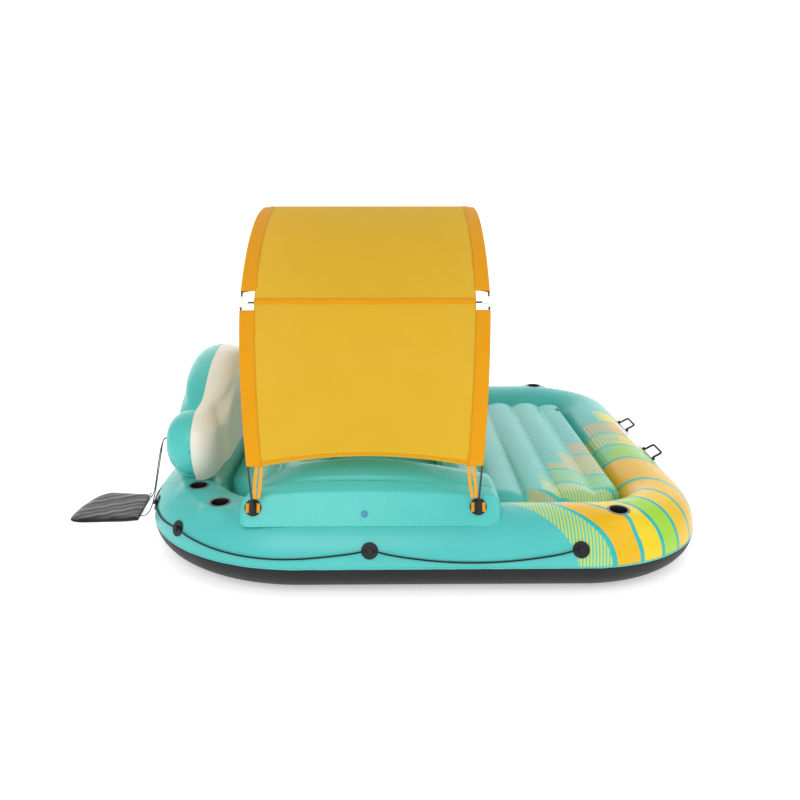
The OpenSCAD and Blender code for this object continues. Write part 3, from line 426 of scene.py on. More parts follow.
# ---------------------------------------------------------------- ballast line
LINE_D = 0.005
NEAR_LINE = [
    (-1.3372, -0.6632, 0.585), (-1.350, -0.664, 0.584), (-1.362, -0.664, 0.576), (-1.372, -0.660, 0.552),
    (-1.384, -0.652, 0.510), (-1.400, -0.640, 0.452), (-1.420, -0.622, 0.382), (-1.442, -0.600, 0.308),
    (-1.464, -0.576, 0.238), (-1.488, -0.548, 0.174), (-1.512, -0.520, 0.122), (-1.538, -0.490, 0.080),
    (-1.564, -0.462, 0.050), (-1.590, -0.440, 0.032), (-1.614, -0.424, 0.024), (-1.6265, -0.423, 0.022),
]
FAR_LINE = [
    (-1.3372, -0.6568, 0.585), (-1.350, -0.655, 0.584), (-1.363, -0.650, 0.577), (-1.376, -0.642, 0.556),
    (-1.392, -0.626, 0.520), (-1.412, -0.600, 0.468), (-1.436, -0.564, 0.404), (-1.462, -0.518, 0.332),
    (-1.490, -0.466, 0.260), (-1.518, -0.410, 0.194), (-1.548, -0.350, 0.138), (-1.576, -0.292, 0.094),
    (-1.602, -0.236, 0.062), (-1.624, -0.182, 0.042), (-1.640, -0.132, 0.030), (-1.650, -0.096, 0.026),
    (-1.6593, -0.095, 0.023),
]


def ballast_line(name, node, points):
    """One strand of twisted cord along its route, three plies with a lay of 14 mm."""
    path = smooth_line(points, 420)
    strand = tube(name, path, LINE_D / 2, 15, ROPE, reference=(1, 1, 0), strands=3, lay=0.014, depth=0.12)
    fit(strand, "root", node)


ballast_line("near_ballast_strand", "near_ballast_cord", NEAR_LINE)
ballast_line("far_ballast_strand", "far_ballast_cord", FAR_LINE)

# ---------------------------------------------------------------- ring tube
STEP = 0.016


def ring_outline():
    """Matching outer and inner plan points round the ring, evenly spaced along the outer edge: elliptical quarters at
    the corners and straight sides between."""
    outer, inner = [], []
    for quarter in range(4):
        side, hand = (1, -1, -1, 1)[quarter], (1, 1, -1, -1)[quarter]
        angle = np.radians(90 * quarter + np.linspace(0, 90, 181))
        turn = np.stack([np.cos(angle), np.sin(angle)], 1)
        big, small = np.array(OUTER_CORNER[side]), np.array(INNER_CORNER[side])
        end_w = FRONT_W if side == 1 else REAR_W
        place = np.array([side, hand])
        outer.append(place * (np.array([HULL_L, HULL_W]) / 2 - big) + big * turn)
        inner.append(place * (np.array([HULL_L / 2 - end_w, HULL_W / 2 - SIDE_W]) - small) + small * turn)
    outer, inner = np.concatenate(outer), np.concatenate(inner)
    outer, inner = np.vstack([outer, outer[:1]]), np.vstack([inner, inner[:1]])
    run = run_along(outer)
    at = np.linspace(0, run[-1], int(run[-1] / STEP), endpoint=False)

    def evenly(points):
        return np.stack([np.interp(at, run, points[:, i]) for i in (0, 1)], 1)

    return evenly(outer), evenly(inner), at


OUTER, INNER, RUN = ring_outline()
OUTWARDS = (OUTER - INNER) / np.linalg.norm(OUTER - INNER, axis=1)[:, None]


def crest(u):
    """Height of the ring's top at a share of its width: half an ellipse over the weld plane."""
    return SEAM_Z + (RING_H - SEAM_Z) * np.sqrt(np.maximum(0, 1 - (1 - 2 * np.asarray(u)) ** 2))


def cup_land(x, y, z):
    """The film is welded level round each cup: its height moves up to nine tenths of the way to the rim's, and that
    fades out by 125 mm from the middle."""
    for place_x, place_y in CUP_PLACES.values():
        away = np.hypot(x - place_x, np.abs(y) - place_y)
        pull = np.clip((0.125 - away) / 0.072, 0, 1)
        z = z + 0.9 * (CUP_TOP - GAP - z) * pull**2 * (3 - 2 * pull)
    return z


def ring_skin(rows):
    """Points of the ring's upper skin: stations round the outline by angle steps over the half ellipse,
    with weld puckers that fade over 18 mm of its width from the outer edge."""
    angle = np.radians(np.linspace(0, 180, rows))
    u = (1 - np.cos(angle)) / 2
    plan = OUTER[:, None] * (1 - u)[None, :, None] + INNER[:, None] * u[None, :, None]
    z = np.broadcast_to(crest(u)[None], plan.shape[:2]).copy()
    fade = np.exp(-u * SIDE_W / 0.018) * np.minimum(1, angle / 0.15)
    plan = plan + OUTWARDS[:, None] * (0.0022 * wave(RUN, 0.075, 3)[:, None] * fade)[..., None]
    z = cup_land(plan[..., 0], plan[..., 1], z)
    return np.concatenate([plan, z[..., None]], 2)


def hull_film():
    """The coloured half of the ring: its skin wraps round both ways, closed by the flat strip at the weld."""
    skin = ring_skin(61)
    made = piece("ring_film", skin, [grid_faces(len(skin), 61, wrap_rows=True, wrap_cols=True)], HULL_PRINT)
    for hand in (-1, 1):
        for x, y in CUP_PLACES.values():
            bpy.ops.mesh.primitive_cylinder_add(
                vertices=64, radius=CUP_R + 0.003, depth=0.2, location=(x, hand * y, CUP_TOP - CUP_DEPTH + 0.096)
            )
            cutter = bpy.context.object
            well = made.modifiers.new("well", "BOOLEAN")
            well.operation, well.solver, well.object = "DIFFERENCE", "EXACT", cutter
            bpy.context.view_layer.objects.active = made
            bpy.ops.object.modifier_apply(modifier="well")
            bpy.data.objects.remove(cutter)
    fit(made, "root", "hull_tube")


def hull_pan():
    """The black half: a quarter ellipse rolls in from the weld to the floor, then a flat floor to the middle,
    and inside a wall up from the thin sheet that closes the middle of the island."""
    flat = np.zeros((len(OUTER), 1))
    rows = [np.c_[INNER * share, flat + SHEET_T] for share in (0.2, 0.6, 1.0)] + [np.c_[INNER, flat + SEAM_Z]]
    for t in np.radians(np.linspace(0, 90, 19)):
        ripple = 0.0018 * wave(RUN, 0.09, 7) * math.exp(-t / 0.35) * min(1, t / 0.1)
        plan = OUTER - OUTWARDS * ((1 - math.cos(t)) * ROLL_IN - ripple)[:, None]
        rows.append(np.c_[plan, flat + SEAM_Z * (1 - math.sin(t))])
    rows += [np.c_[plan * share, flat] for share in (0.7, 0.4, 0.15)]
    made = capped("underside_film", rows[::-1], BLACK_FILM, [[0, 0, 0], [0, 0, SHEET_T]])
    fit(made, "root", "hull_underside")


def hull_weld():
    """The welded lap of the two halves: a flat bead round the ring, 9 mm high, that wanders a little."""
    angle = np.linspace(0, 2 * np.pi, 10, endpoint=False)
    plan = OUTER[:, None] + OUTWARDS[:, None] * (0.0022 * np.cos(angle) - 0.0006)[None, :, None]
    z = SEAM_Z + 0.0045 * np.sin(angle)[None, :] + 0.0016 * wave(RUN, 0.16, 11)[:, None]
    faces = grid_faces(len(OUTER), 10, wrap_rows=True, wrap_cols=True)
    made = piece("ring_weld", np.concatenate([plan, z[..., None]], 2), [faces], TEAL_FILM)
    fit(made, "root")


hull_film()
hull_pan()
hull_weld()


# ---------------------------------------------------------------- decks of cross tubes
def edge_share(distance, radius, power=2.2):
    """Rises from 0 at an edge to 1 at a radius inside it, along a superellipse."""
    inward = np.clip(distance / radius, 0, 1)
    return (1 - (1 - inward) ** power) ** (1 / power)


def air_tubes(name, node, rear, pitch, count, crown, groove, material, seed, end_round=0.09, front_limit=None):
    """A mattress of cross tubes: circular arcs between welded grooves, rounded down at the ends, with puckers that fan
    out from each weld."""
    span = min(count * pitch, (front_limit or 9) - rear)
    x = rear + np.linspace(0, span, int(span / 0.0082))
    v = np.sin(np.linspace(-np.pi / 2, np.pi / 2, 190))
    v = 0.35 * v + 0.65 * np.linspace(-1, 1, 190)
    corner_x = HULL_L / 2 - FRONT_W - INNER_CORNER[1][0]
    half = np.full(len(x), HULL_W / 2 - SIDE_W - 0.003)
    past = np.clip((x - corner_x) / INNER_CORNER[1][0], 0, 0.999)
    half -= INNER_CORNER[1][1] * (1 - np.sqrt(1 - past**2))
    rear_x = -HULL_L / 2 + REAR_W + INNER_CORNER[-1][0]
    behind = np.clip((rear_x - x) / INNER_CORNER[-1][0], 0, 0.999)
    half -= INNER_CORNER[-1][1] * (1 - np.sqrt(1 - behind**2))
    y = v[None, :] * half[:, None]
    xx = np.broadcast_to(x[:, None], y.shape)
    arc_r = (pitch**2 / 4 + groove**2) / (2 * groove)
    from_weld = np.abs((xx - rear + pitch / 2) % pitch - pitch / 2)
    to_middle = pitch / 2 - from_weld
    z = crown - arc_r + np.sqrt(arc_r**2 - to_middle**2)
    ripple = wave(y + 0.3 * xx, 0.055, seed) * np.exp(-from_weld / 0.022) * 0.0016
    ends = half[:, None] - np.abs(y)
    fan = wave(xx, 0.04, seed + 1) * np.exp(-((ends / 0.06) ** 2)) * 0.003
    tall = edge_share(ends, end_round)
    if front_limit:
        tall = np.minimum(tall, edge_share(front_limit - xx, 0.06))
    z = SHEET_T + 0.002 + (z + ripple + fan - SHEET_T - 0.002) * (0.62 + 0.38 * tall)
    z[:, [0, -1]] = SHEET_T + 0.002
    z[[0, -1], :] = SHEET_T + 0.002
    upper = np.stack([xx, y, z], 2)
    upper[1, :, 0], upper[-2, :, 0] = upper[0, :, 0], upper[-1, :, 0]
    upper[:, 1, 1], upper[:, -2, 1] = upper[:, 0, 1], upper[:, -1, 1]
    lower = upper.copy()
    lower[..., 2] = SHEET_T + 0.001
    made = shell(name, upper, lower, material)
    fit(made, "root", node)


DECK_PITCH = 0.1965
DECK_REAR = HULL_L / 2 - FRONT_W + 0.041 - 5 * DECK_PITCH
SEAT_REAR = -HULL_L / 2 + REAR_W
SEAT_FRONT = SEAT_REAR + 0.48
DECK_FRONT = HULL_L / 2 - FRONT_W - 0.003
WELL_REAR, WELL_PITCH = SEAT_FRONT + GAP, (DECK_REAR - SEAT_FRONT - 2 * GAP) / 4
air_tubes("sun_deck_tubes", "sun_deck", DECK_REAR, DECK_PITCH, 5, 0.338, 0.028, DECK_PRINT, 21, front_limit=DECK_FRONT)
air_tubes("rear_seat_tubes", "rear_seat", SEAT_REAR + 0.002, 0.2399, 2, 0.330, 0.028, TEAL_FILM, 31)
air_tubes("footwell_tubes", "footwell_floor", WELL_REAR, WELL_PITCH, 4, 0.130, 0.014, TEAL_FILM, 41)


# ---------------------------------------------------------------- side bolsters
RISE = BOLSTER_H - SHOULDER_H
PROFILE = [(1 - math.cos(math.radians(15 * k))) / 2 for k in range(13)]
CROWN = ((5, 0.2), (6, 0.54), (7, 0.87), (8, 1.0), (9, 0.82), (10, 0.3))
BOLSTER_LINE = [
    (0.200, RING_H * 0.895),
    FACET_LOW,
    (PROFILE[4], FACET_LOW[1] + FACET_SLOPE * (PROFILE[4] - FACET_LOW[0])),
    FACET_HIGH,
    *[(PROFILE[k], SHOULDER_H + share * RISE) for k, share in CROWN],
    (0.965, SHOULDER_H - 0.055),
]
BOLSTER_FRONT, BOLSTER_L = CANOPY_X + FEET_SPAN / 2 + 0.115, 1.29


def rounded_share(share, u):
    """Draws a bolster's ends in near its foot, so its lower corners turn on a radius of 80 mm."""
    near = np.clip((u - 0.2) * 1.5 * SIDE_W / 0.080, 0, 1)
    margin = 0.080 * (1 - np.sqrt(1 - (1 - near) ** 2)) / BOLSTER_L
    return margin + share * (1 - 2 * margin)


def bolster_plan(share, u):
    """Plan x of a bolster point: round the ring's rear corner for three tenths, then straight along the side."""
    share = rounded_share(share, u)
    turn = np.radians(90 + 7.5 * np.clip(3 - 10 * share, 0, 3))
    rear = -HULL_L / 2
    outer = rear + OUTER_CORNER[-1][0] * (1 + np.cos(turn))
    inner = rear + REAR_W + INNER_CORNER[-1][0] * (1 + np.cos(turn))
    straight = rear + OUTER_CORNER[-1][0] + (BOLSTER_FRONT - rear - OUTER_CORNER[-1][0]) * (share - 0.3) / 0.7
    return np.where(share < 0.3, outer * (1 - u) + inner * u, straight)


def bolster_top(share, u, base_z):
    """Height of a bolster's skin: its profile above the shoulder times a sine along its length, rounded down at both
    ends, with a welded crease at half the ring's width that fades towards the ends."""
    lift = 0.12 + 0.88 * np.sin(np.pi * np.clip(share, 0, 1))
    z = np.where(base_z > SHOULDER_H, SHOULDER_H + (base_z - SHOULDER_H) * lift, base_z)
    z = z - 0.010 * np.exp(-(((u - 0.50) / 0.018) ** 2)) * np.sin(np.pi * share) ** 0.5
    ends = edge_share(np.minimum(share, 1 - share) * BOLSTER_L, 0.055, 2.6)
    floor = crest(u) + GAP
    return floor + np.maximum(z - floor, 0.001) * ends


def bolster_puckers(share, u, seed):
    """Small folds across the welds: at the foot line and on both sides of the crease."""
    along = share * BOLSTER_L
    return (
        0.0020 * wave(along, 0.06, seed) * np.exp(-((u - 0.2) / 0.03))
        + 0.0016 * wave(along, 0.07, seed + 1) * np.exp(-np.abs(u - 0.5) / 0.03)
    )


def bolster(hand, name, node, seed):
    """A long side cushion that saddles the ring: its profile over the ring's width, swept along the side."""
    line = smooth_line(BOLSTER_LINE, 96)
    share = 0.5 - 0.5 * np.cos(np.linspace(0, np.pi, 200))
    share = 0.4 * share + 0.6 * np.linspace(0, 1, 200)
    s, u = np.meshgrid(share, line[:, 0], indexing="ij")
    base = np.broadcast_to(line[:, 1][None], s.shape)
    x = bolster_plan(s, u)
    y = HULL_W / 2 - SIDE_W * u
    z = bolster_top(s, u, base) + bolster_puckers(s, u, seed) * np.minimum(1, np.minimum(s, 1 - s) / 0.06)
    upper = np.stack([x, hand * y, z], 2)
    lower = np.stack([x, hand * y, crest(u) + GAP - 0.0001], 2)
    made = shell(name, upper, lower, TEAL_FILM)
    fit(made, "root", node)
    ends, along = np.linspace(0.012, 0.988, 120), np.linspace(0.205, 0.955, 60)
    round_s = np.concatenate([ends, np.full(60, 0.988), ends[::-1], np.full(60, 0.012)])
    round_u = np.concatenate([np.full(120, 0.205), along, np.full(120, 0.955), along[::-1]])
    welds = {
        "crease": (0.09 + 0.82 * np.linspace(0, 1, 160), np.full(160, 0.5), 0.0016),
        "edge": (round_s, round_u, 0.0022),
    }
    for part, (ws, wu, radius) in welds.items():
        wz = np.interp(wu, line[:, 0], line[:, 1])
        top = bolster_top(ws, wu, wz) if part == "crease" else crest(wu) + 0.002
        path = np.stack([bolster_plan(ws, wu), hand * (HULL_W / 2 - SIDE_W * wu), top + 0.0006], 1)
        weld = tube(f"{name}_{part}_weld", smooth_line(path, 600), radius, 8, WELD_FILM)
        fit(weld, "root")


bolster(-1, "near_bolster_cushion", "near_bolster", 51)
bolster(1, "far_bolster_cushion", "far_bolster", 61)


# ---------------------------------------------------------------- backrest
def cloud_depth(y, z, blend):
    """Distance inside the cloud outline: the greater of those inside the side lobe and the broad middle circle,
    rounded over a blend where they meet."""
    notch_y, notch_z = LOBE_Y - 0.6 * LOBE_R, LOBE_Z + 0.75 * LOBE_R
    rise = BACK_TOP - notch_z
    big = (notch_y**2 + rise**2) / (2 * rise)
    lobe = LOBE_R - np.hypot(np.abs(y) - LOBE_Y, z - LOBE_Z)
    middle = big - np.hypot(y, z - (BACK_TOP - big))
    near = np.clip(1 - np.abs(lobe - middle) / blend, 0, 1)
    return np.maximum(lobe, middle) + blend / 4 * near**2


def cloud_edge(y, blend, upward):
    """Top or bottom height of the cloud outline at each place across it, by halving."""
    inside = np.full_like(y, LOBE_Z)
    beyond = np.full_like(y, BACK_TOP + 0.05 if upward else RING_H + 2 * GAP)
    for _ in range(26):
        middle = (inside + beyond) / 2
        within = cloud_depth(y, middle, blend) > 0
        inside, beyond = np.where(within, middle, inside), np.where(within, beyond, middle)
    return inside


def backrest_half(name, node, depth, facing, material, blend, shallow):
    """One half of the backrest: it swells by depth times a superellipse of the distance inside the welded outline, less
    by a share shallow at the lobes, with a soft crease that runs in and up from each notch."""
    reach = LOBE_Y + LOBE_R - 0.0004
    y = np.sin(np.linspace(-np.pi / 2, np.pi / 2, 281)) * reach
    y = 0.4 * y + 0.6 * np.linspace(-reach, reach, 281)
    foot = RING_H + 2 * GAP
    top, low = cloud_edge(y, blend, True), np.maximum(foot, cloud_edge(y, blend, False))
    t = 0.5 - 0.5 * np.cos(np.linspace(0, np.pi, 90))
    z = low[:, None] + (top - low)[:, None] * t[None, :]
    yy = np.broadcast_to(y[:, None], z.shape)
    distance = np.minimum(np.maximum(cloud_depth(yy, z, blend), 0), (z - foot) * 3.2)
    swell = edge_share(distance, 0.135, 2.35)
    lobes = np.clip((np.abs(yy) - 0.46) / 0.16, 0, 1)
    swell = swell * (1 - shallow * lobes**2 * (3 - 2 * lobes))
    notch = LOBE_Y - 0.6 * LOBE_R, LOBE_Z + 0.75 * LOBE_R
    crease = np.zeros_like(z)
    for hand in (-1, 1):
        start, toward = np.array([hand * notch[0], notch[1]]), np.array([-hand * 0.955, 0.297])
        offset = np.stack([yy, z], -1) - start
        along = offset @ toward
        aside = np.abs(offset @ np.array([toward[1], -toward[0]]))
        fade = np.clip(1 - along / 0.42, 0, 1) * np.clip(1 + along / 0.10, 0, 1)
        crease += np.exp(-((aside / 0.034) ** 2)) * fade
    rim = 0.0007 * wave(yy + z, 0.09, 71) * np.exp(-distance / 0.03)
    out = depth * swell * (1 - 0.22 * np.clip(crease, 0, 1)) + np.where(distance > 0.001, rim, 0)
    out = np.clip(out, 0.0008, depth - 0.001)
    upper = np.stack([SEAM_X + facing * out, yy, z], 2)
    lower = np.stack([np.full_like(z, SEAM_X + facing * 0.0002), yy, z], 2)
    made = shell(name, upper, lower, material)
    fit(made, "root", node)


backrest_half("backrest_front_half", "backrest_front", 0.46 * BACK_T, 1, WHITE_FILM, 0.16, 0.14)
backrest_half("backrest_back_half", "backrest_back", 0.54 * BACK_T, -1, TEAL_FILM, 0.03, 0.0)


# ---------------------------------------------------------------- cup holders
def film_height(x, y):
    """Height of the ring's film over plan points: the crest at each point's share of the nearest station line."""
    run = INNER - OUTER
    away = np.stack([x, y], -1)[..., None, :] - OUTER
    aside = np.abs(away[..., 0] * run[:, 1] - away[..., 1] * run[:, 0])
    u = (away * run).sum(-1) / (run**2).sum(-1)
    aside = np.where((u > 0) & (u < 1), aside, 9)
    best = aside.argmin(-1)[..., None]
    return cup_land(x, y, crest(np.clip(np.take_along_axis(u, best, -1)[..., 0], 0, 1)))


def lathe(name, profile, centre, material, sides=64):
    """A profile of radius and height pairs turned round a vertical axis and closed. Its upper part follows the slope
    of the film."""
    profile = np.asarray(profile, float)
    angle = np.linspace(0, 2 * np.pi, sides, endpoint=False)
    x = centre[0] + np.cos(angle)[:, None] * profile[None, :, 0]
    y = centre[1] + np.sin(angle)[:, None] * profile[None, :, 0]
    z = centre[2] + np.broadcast_to(profile[None, :, 1], x.shape)
    z = z + (film_height(x, y) - CUP_TOP) * np.clip(1 + profile[None, :, 1] / 0.03, 0, 1)
    faces = grid_faces(sides, len(profile), wrap_rows=True, wrap_cols=True)
    return piece(name, np.stack([x, y, z], 2), [faces], material)


def cups():
    """Each holder is a soft well with a rounded floor corner, and a welded rim ring of its own grey on the film."""
    for hand, word in ((-1, "near"), (1, "far")):
        for where, (x, y) in CUP_PLACES.items():
            centre = (x, hand * y, CUP_TOP)
            turn = np.radians(np.linspace(0, 90, 8))
            floor = [(CUP_R - 0.008 + 0.008 * math.sin(a), -CUP_DEPTH + 0.008 - 0.008 * math.cos(a)) for a in turn]
            skirt = [(CUP_R - 0.006 + 0.0075 * math.sin(a), -CUP_DEPTH + 0.0065 - 0.0080 * math.cos(a)) for a in turn]
            well = [(0.0008, -CUP_DEPTH), *floor, (CUP_R, -0.03), (CUP_R - 0.0005, -0.004), (CUP_R + 0.001, 0.0012)]
            well += [(CUP_R + 0.004, 0.0016), (CUP_R + 0.004, 0.0002), (CUP_R + 0.0015, -0.004)]
            well += [(CUP_R + 0.0015, -0.03), *skirt[::-1], (0.0008, -CUP_DEPTH - 0.0015)]
            made = lathe(f"{word}_{where}_cup_well", well, centre, FITTING)
            rim_turn = np.radians(np.linspace(0, 360, 14, endpoint=False))
            rim = [(CUP_R + 0.0075 + 0.0055 * math.cos(a), 0.0010 + 0.0012 * math.sin(a)) for a in rim_turn]
            ring = lathe(f"{word}_{where}_cup_rim", rim, centre, CUP_RIM)
            fit(made, "root", f"{word}_{where}_cup")
            fit(ring, "root")


cups()


# ---------------------------------------------------------------- ballast bag, boarding patch
BAG = [
    (-1.626, -0.436), (-1.640, -0.250), (-1.662, -0.084), (-1.760, -0.060), (-1.880, -0.044),
    (-1.950, -0.060), (-1.990, -0.130), (-2.020, -0.250), (-2.030, -0.380), (-2.010, -0.440),
    (-1.940, -0.462), (-1.800, -0.456), (-1.700, -0.452),
]
PATCH_U = (0.254, 0.366)


def ballast_bag():
    """A flat vinyl bag, slack on the ground: its height over gentle folds falls off to the welded outline."""
    outline = smooth_line(np.vstack([BAG, BAG[:1]]), 241)[:-1]
    centre = outline.mean(0)
    share = np.sin(np.linspace(0.02, np.pi / 2, 60))
    rows = []
    for s in share:
        plan = centre + (outline - centre) * s
        x, y = plan.T
        fold = wave(x + 0.4 * y, 0.11, 81) * 0.006 + wave(y - 0.5 * x, 0.07, 82) * 0.004
        height = float(edge_share(np.array(1 - s), 0.32)) if s < 1 else 0.0
        rows.append(np.c_[plan, 0.0015 + np.clip((0.019 + fold) * height, 0, 0.0285)])
    rim = np.c_[outline, np.full(len(outline), 0.0015)]
    flat = [np.c_[centre + (outline - centre) * s, np.full(len(outline), 0.0003)] for s in (1.0, 0.7, 0.35, 0.05)]
    made = capped("slack_ballast_bag", [*rows, rim + [0, 0, -0.0006], *flat][::-1], BAG_FILM)
    fit(made, "root", "ballast_bag")


def boarding_patch():
    """A pale welded patch over the front rim: a sheet with rounded corners, a millimetre proud of the ring."""
    u = np.linspace(PATCH_U[0], PATCH_U[1], 40)
    span = np.linspace(-1, 1, 90)
    y = 0.225 * span[None, :] * (1 - 0.12 * np.abs(np.linspace(-1, 1, 40)[:, None]) ** 6)
    uu = np.broadcast_to(u[:, None], y.shape)
    x, z = HULL_L / 2 - FRONT_W * uu, crest(uu)
    rim = np.minimum(1, 12 * np.minimum(1 - np.abs(span)[None, :], 1 - np.abs(np.linspace(-1, 1, 40))[:, None]))
    upper = np.stack([x, y, z + 0.0004 + 0.0012 * rim], 2)
    lower = np.stack([x, y, z + 0.0001], 2)
    made = shell("welded_boarding_patch", upper, lower, PATCH_FILM)
    fit(made, "root", "boarding_patch")


ballast_bag()
boarding_patch()


# ---------------------------------------------------------------- grab rope, laced through its guides
GUIDE_Z, ROPE_D, GUIDE_REST, EYE_UP, EYE_RUN = 0.245, 0.008, -0.0012, 0.012, 0.017


def share_at(z):
    """Share of the ring's width at which its outer face has a height, from the half ellipse."""
    return (1 - math.sqrt(1 - ((z - SEAM_Z) / (RING_H - SEAM_Z)) ** 2)) / 2


def grab_rope():
    """The rope hangs in shallow parabolas 4 f (1 - f) between the guides' eyes, close to the ring's outer face."""
    at = share_at(GUIDE_Z)
    lean = math.atan(SIDE_W * math.sqrt(1 - (1 - 2 * at) ** 2) / ((RING_H - SEAM_Z) * 2 * (1 - 2 * at)))
    rope_z = GUIDE_Z + (GUIDE_REST + EYE_UP) * math.sin(lean)
    at_eye = (GUIDE_REST + EYE_UP) * math.cos(lean) + SIDE_W * (share_at(rope_z) - at)
    rx, ry = OUTER_CORNER[-1]

    def side(x):
        return np.array([x, -HULL_W / 2, 0, -1])

    def corner(angle):
        turn = np.array([math.cos(math.radians(angle)), math.sin(math.radians(angle))])
        out = turn / np.array([rx, ry])
        return np.array([*(turn * (rx, ry) + (rx - HULL_L / 2, ry - HULL_W / 2)), *(out / np.linalg.norm(out))])

    def face(place, z, off):
        plan = place[:2] + place[2:] * (off - SIDE_W * share_at(z))
        return [*plan, z]

    def span(places, sag):
        """Level where the rope passes through an eye, and sagging between."""
        run = EYE_RUN / np.linalg.norm(places[1] - places[0])
        back = EYE_RUN / np.linalg.norm(places[-2] - places[-1])
        line = [face(places[0], rope_z, at_eye), face(places[0] + (places[1] - places[0]) * run, rope_z, at_eye)]
        count = len(places) - 1
        for k in range(1, count):
            dip = 4 * (k / count) * (1 - k / count)
            line.append(face(places[k], rope_z - sag * dip, at_eye + (ROPE_D / 2 + 0.002 - at_eye) * min(1, 2 * dip)))
        line.append(face(places[-1] + (places[-2] - places[-1]) * back, rope_z, at_eye))
        return line

    straight = rx - HULL_L / 2
    half = [face(side(0.775), rope_z - 0.002, at_eye)]
    half += span([side(x) for x in np.linspace(0.741, -0.251, 11)], 0.058)
    rear = [side(x) for x in np.linspace(-0.251, straight, 5)]
    half += span(rear + [corner(270 - 47 * k / 7) for k in range(1, 8)], 0.040)
    half += span([corner(180 + 43 + (16 - 43) * k / 5) for k in range(6)], 0.012)
    stern = [corner(180 + 16 * (1 - k / 3)) for k in range(4)]
    edge = HULL_W / 2 - ry
    stern += [np.array([-HULL_L / 2, y, -1, 0]) for y in np.linspace(-edge, edge, 7)[1:-1]]
    stern += [place * (1, -1, 1, -1) for place in stern[3::-1]]
    line = half + span(stern, 0.012) + [[x, -y, z] for x, y, z in half[::-1]]
    made = tube("laced_grab_rope", smooth_line(line, 2600), ROPE_D / 2, 12, ROPE, strands=4, lay=0.028, depth=0.07)
    fit(made, "root", "grab_rope")


grab_rope()


# ---------------------------------------------------------------- canopy
CLOTH_OFF, TEE_CLEAR, STRAP_W, STRAP_T = 0.0091, 0.030, 0.016, 0.0012
PANEL_IN, FLAT_W, FLAT_L = 0.063, 1.07, 3.59
PANEL_ROWS, PANEL_COLS = 421, 111


def cloth_across(share, off):
    """Distance from the middle plane and height of the canopy at a share: 0 at the hem, 0.5 at the side tees, 1 at the
    ridge. Both lengths of pole are circular arcs."""
    share = np.asarray(share, float)
    low = HEM_ANG + (LOWER_ANG - HEM_ANG) * np.clip(2 * share, -0.3, 1)
    high = np.pi / 2 - UPPER_ANG + UPPER_ANG * np.clip(2 * share - 1, 0, 1)
    below = share < 0.5
    y = np.where(below, FOOT_Y - LOWER_R + (LOWER_R + off) * np.cos(low), (UPPER_R + off) * np.cos(high))
    rise = LEAN_START + (LOWER_R + off) * np.sin(low)
    z = np.where(below, SPRING_Z + rise * math.cos(LOWER_LEAN), HOOP_H - UPPER_R + (UPPER_R + off) * np.sin(high))
    return y, z


def pole_x(z):
    """Distance of the hoops from the middle of the canopy at a height."""
    return (FEET_SPAN + (HOOP_SPAN - FEET_SPAN) * np.clip((z - SPRING_Z) / (MID_Z - SPRING_Z), 0, 1)) / 2


def canopy_panel():
    """The stretched panel: it follows the poles, sinks a little between the bars, bows in at its edges and hems, and
    has fine pull lines from the tees."""
    tt, ss = np.meshgrid(np.linspace(-1, 1, PANEL_ROWS), np.linspace(-1, 1, PANEL_COLS), indexing="ij")
    share = 1 - np.abs(tt)
    hem = np.exp(-share / 0.12)
    share = share + 0.030 * (1 - ss**2) * hem * (1 - share)
    between = np.abs(np.sin(2 * np.pi * share))
    sink = (1 - ss**2) * between
    pull = wave(ss * 0.55 + 0.15 * tt, 0.07, 91) * np.exp(-((share - 0.5) / 0.14) ** 2)
    pull = pull * np.exp(-(1 - np.abs(ss)) / 0.35)
    slack = wave(ss * 0.6, 0.16, 92) * np.exp(-share / 0.10)
    off = CLOTH_OFF - 0.016 * sink + 0.0030 * pull + 0.0040 * slack
    y, z = cloth_across(share, off)
    half = pole_x(z) - PANEL_IN - 0.003 * between
    x = CANOPY_X + half * ss
    hand = np.where(tt < 0, -1, 1)
    skin = np.stack([x, hand * y, z], 2)
    run = run_along(skin[:, PANEL_COLS // 2])
    uv = np.stack([x, np.broadcast_to(run[:, None], x.shape)], 2)
    grid = np.gradient(skin, axis=0), np.gradient(skin, axis=1)
    face = np.cross(grid[1], grid[0])
    face /= np.linalg.norm(face, axis=2)[..., None]
    made = shell("canopy_panel", skin + face * 0.0005, skin - face * 0.0005, CLOTH, uv)
    fit(made, "canopy", "canopy_sheet")
    return skin, face


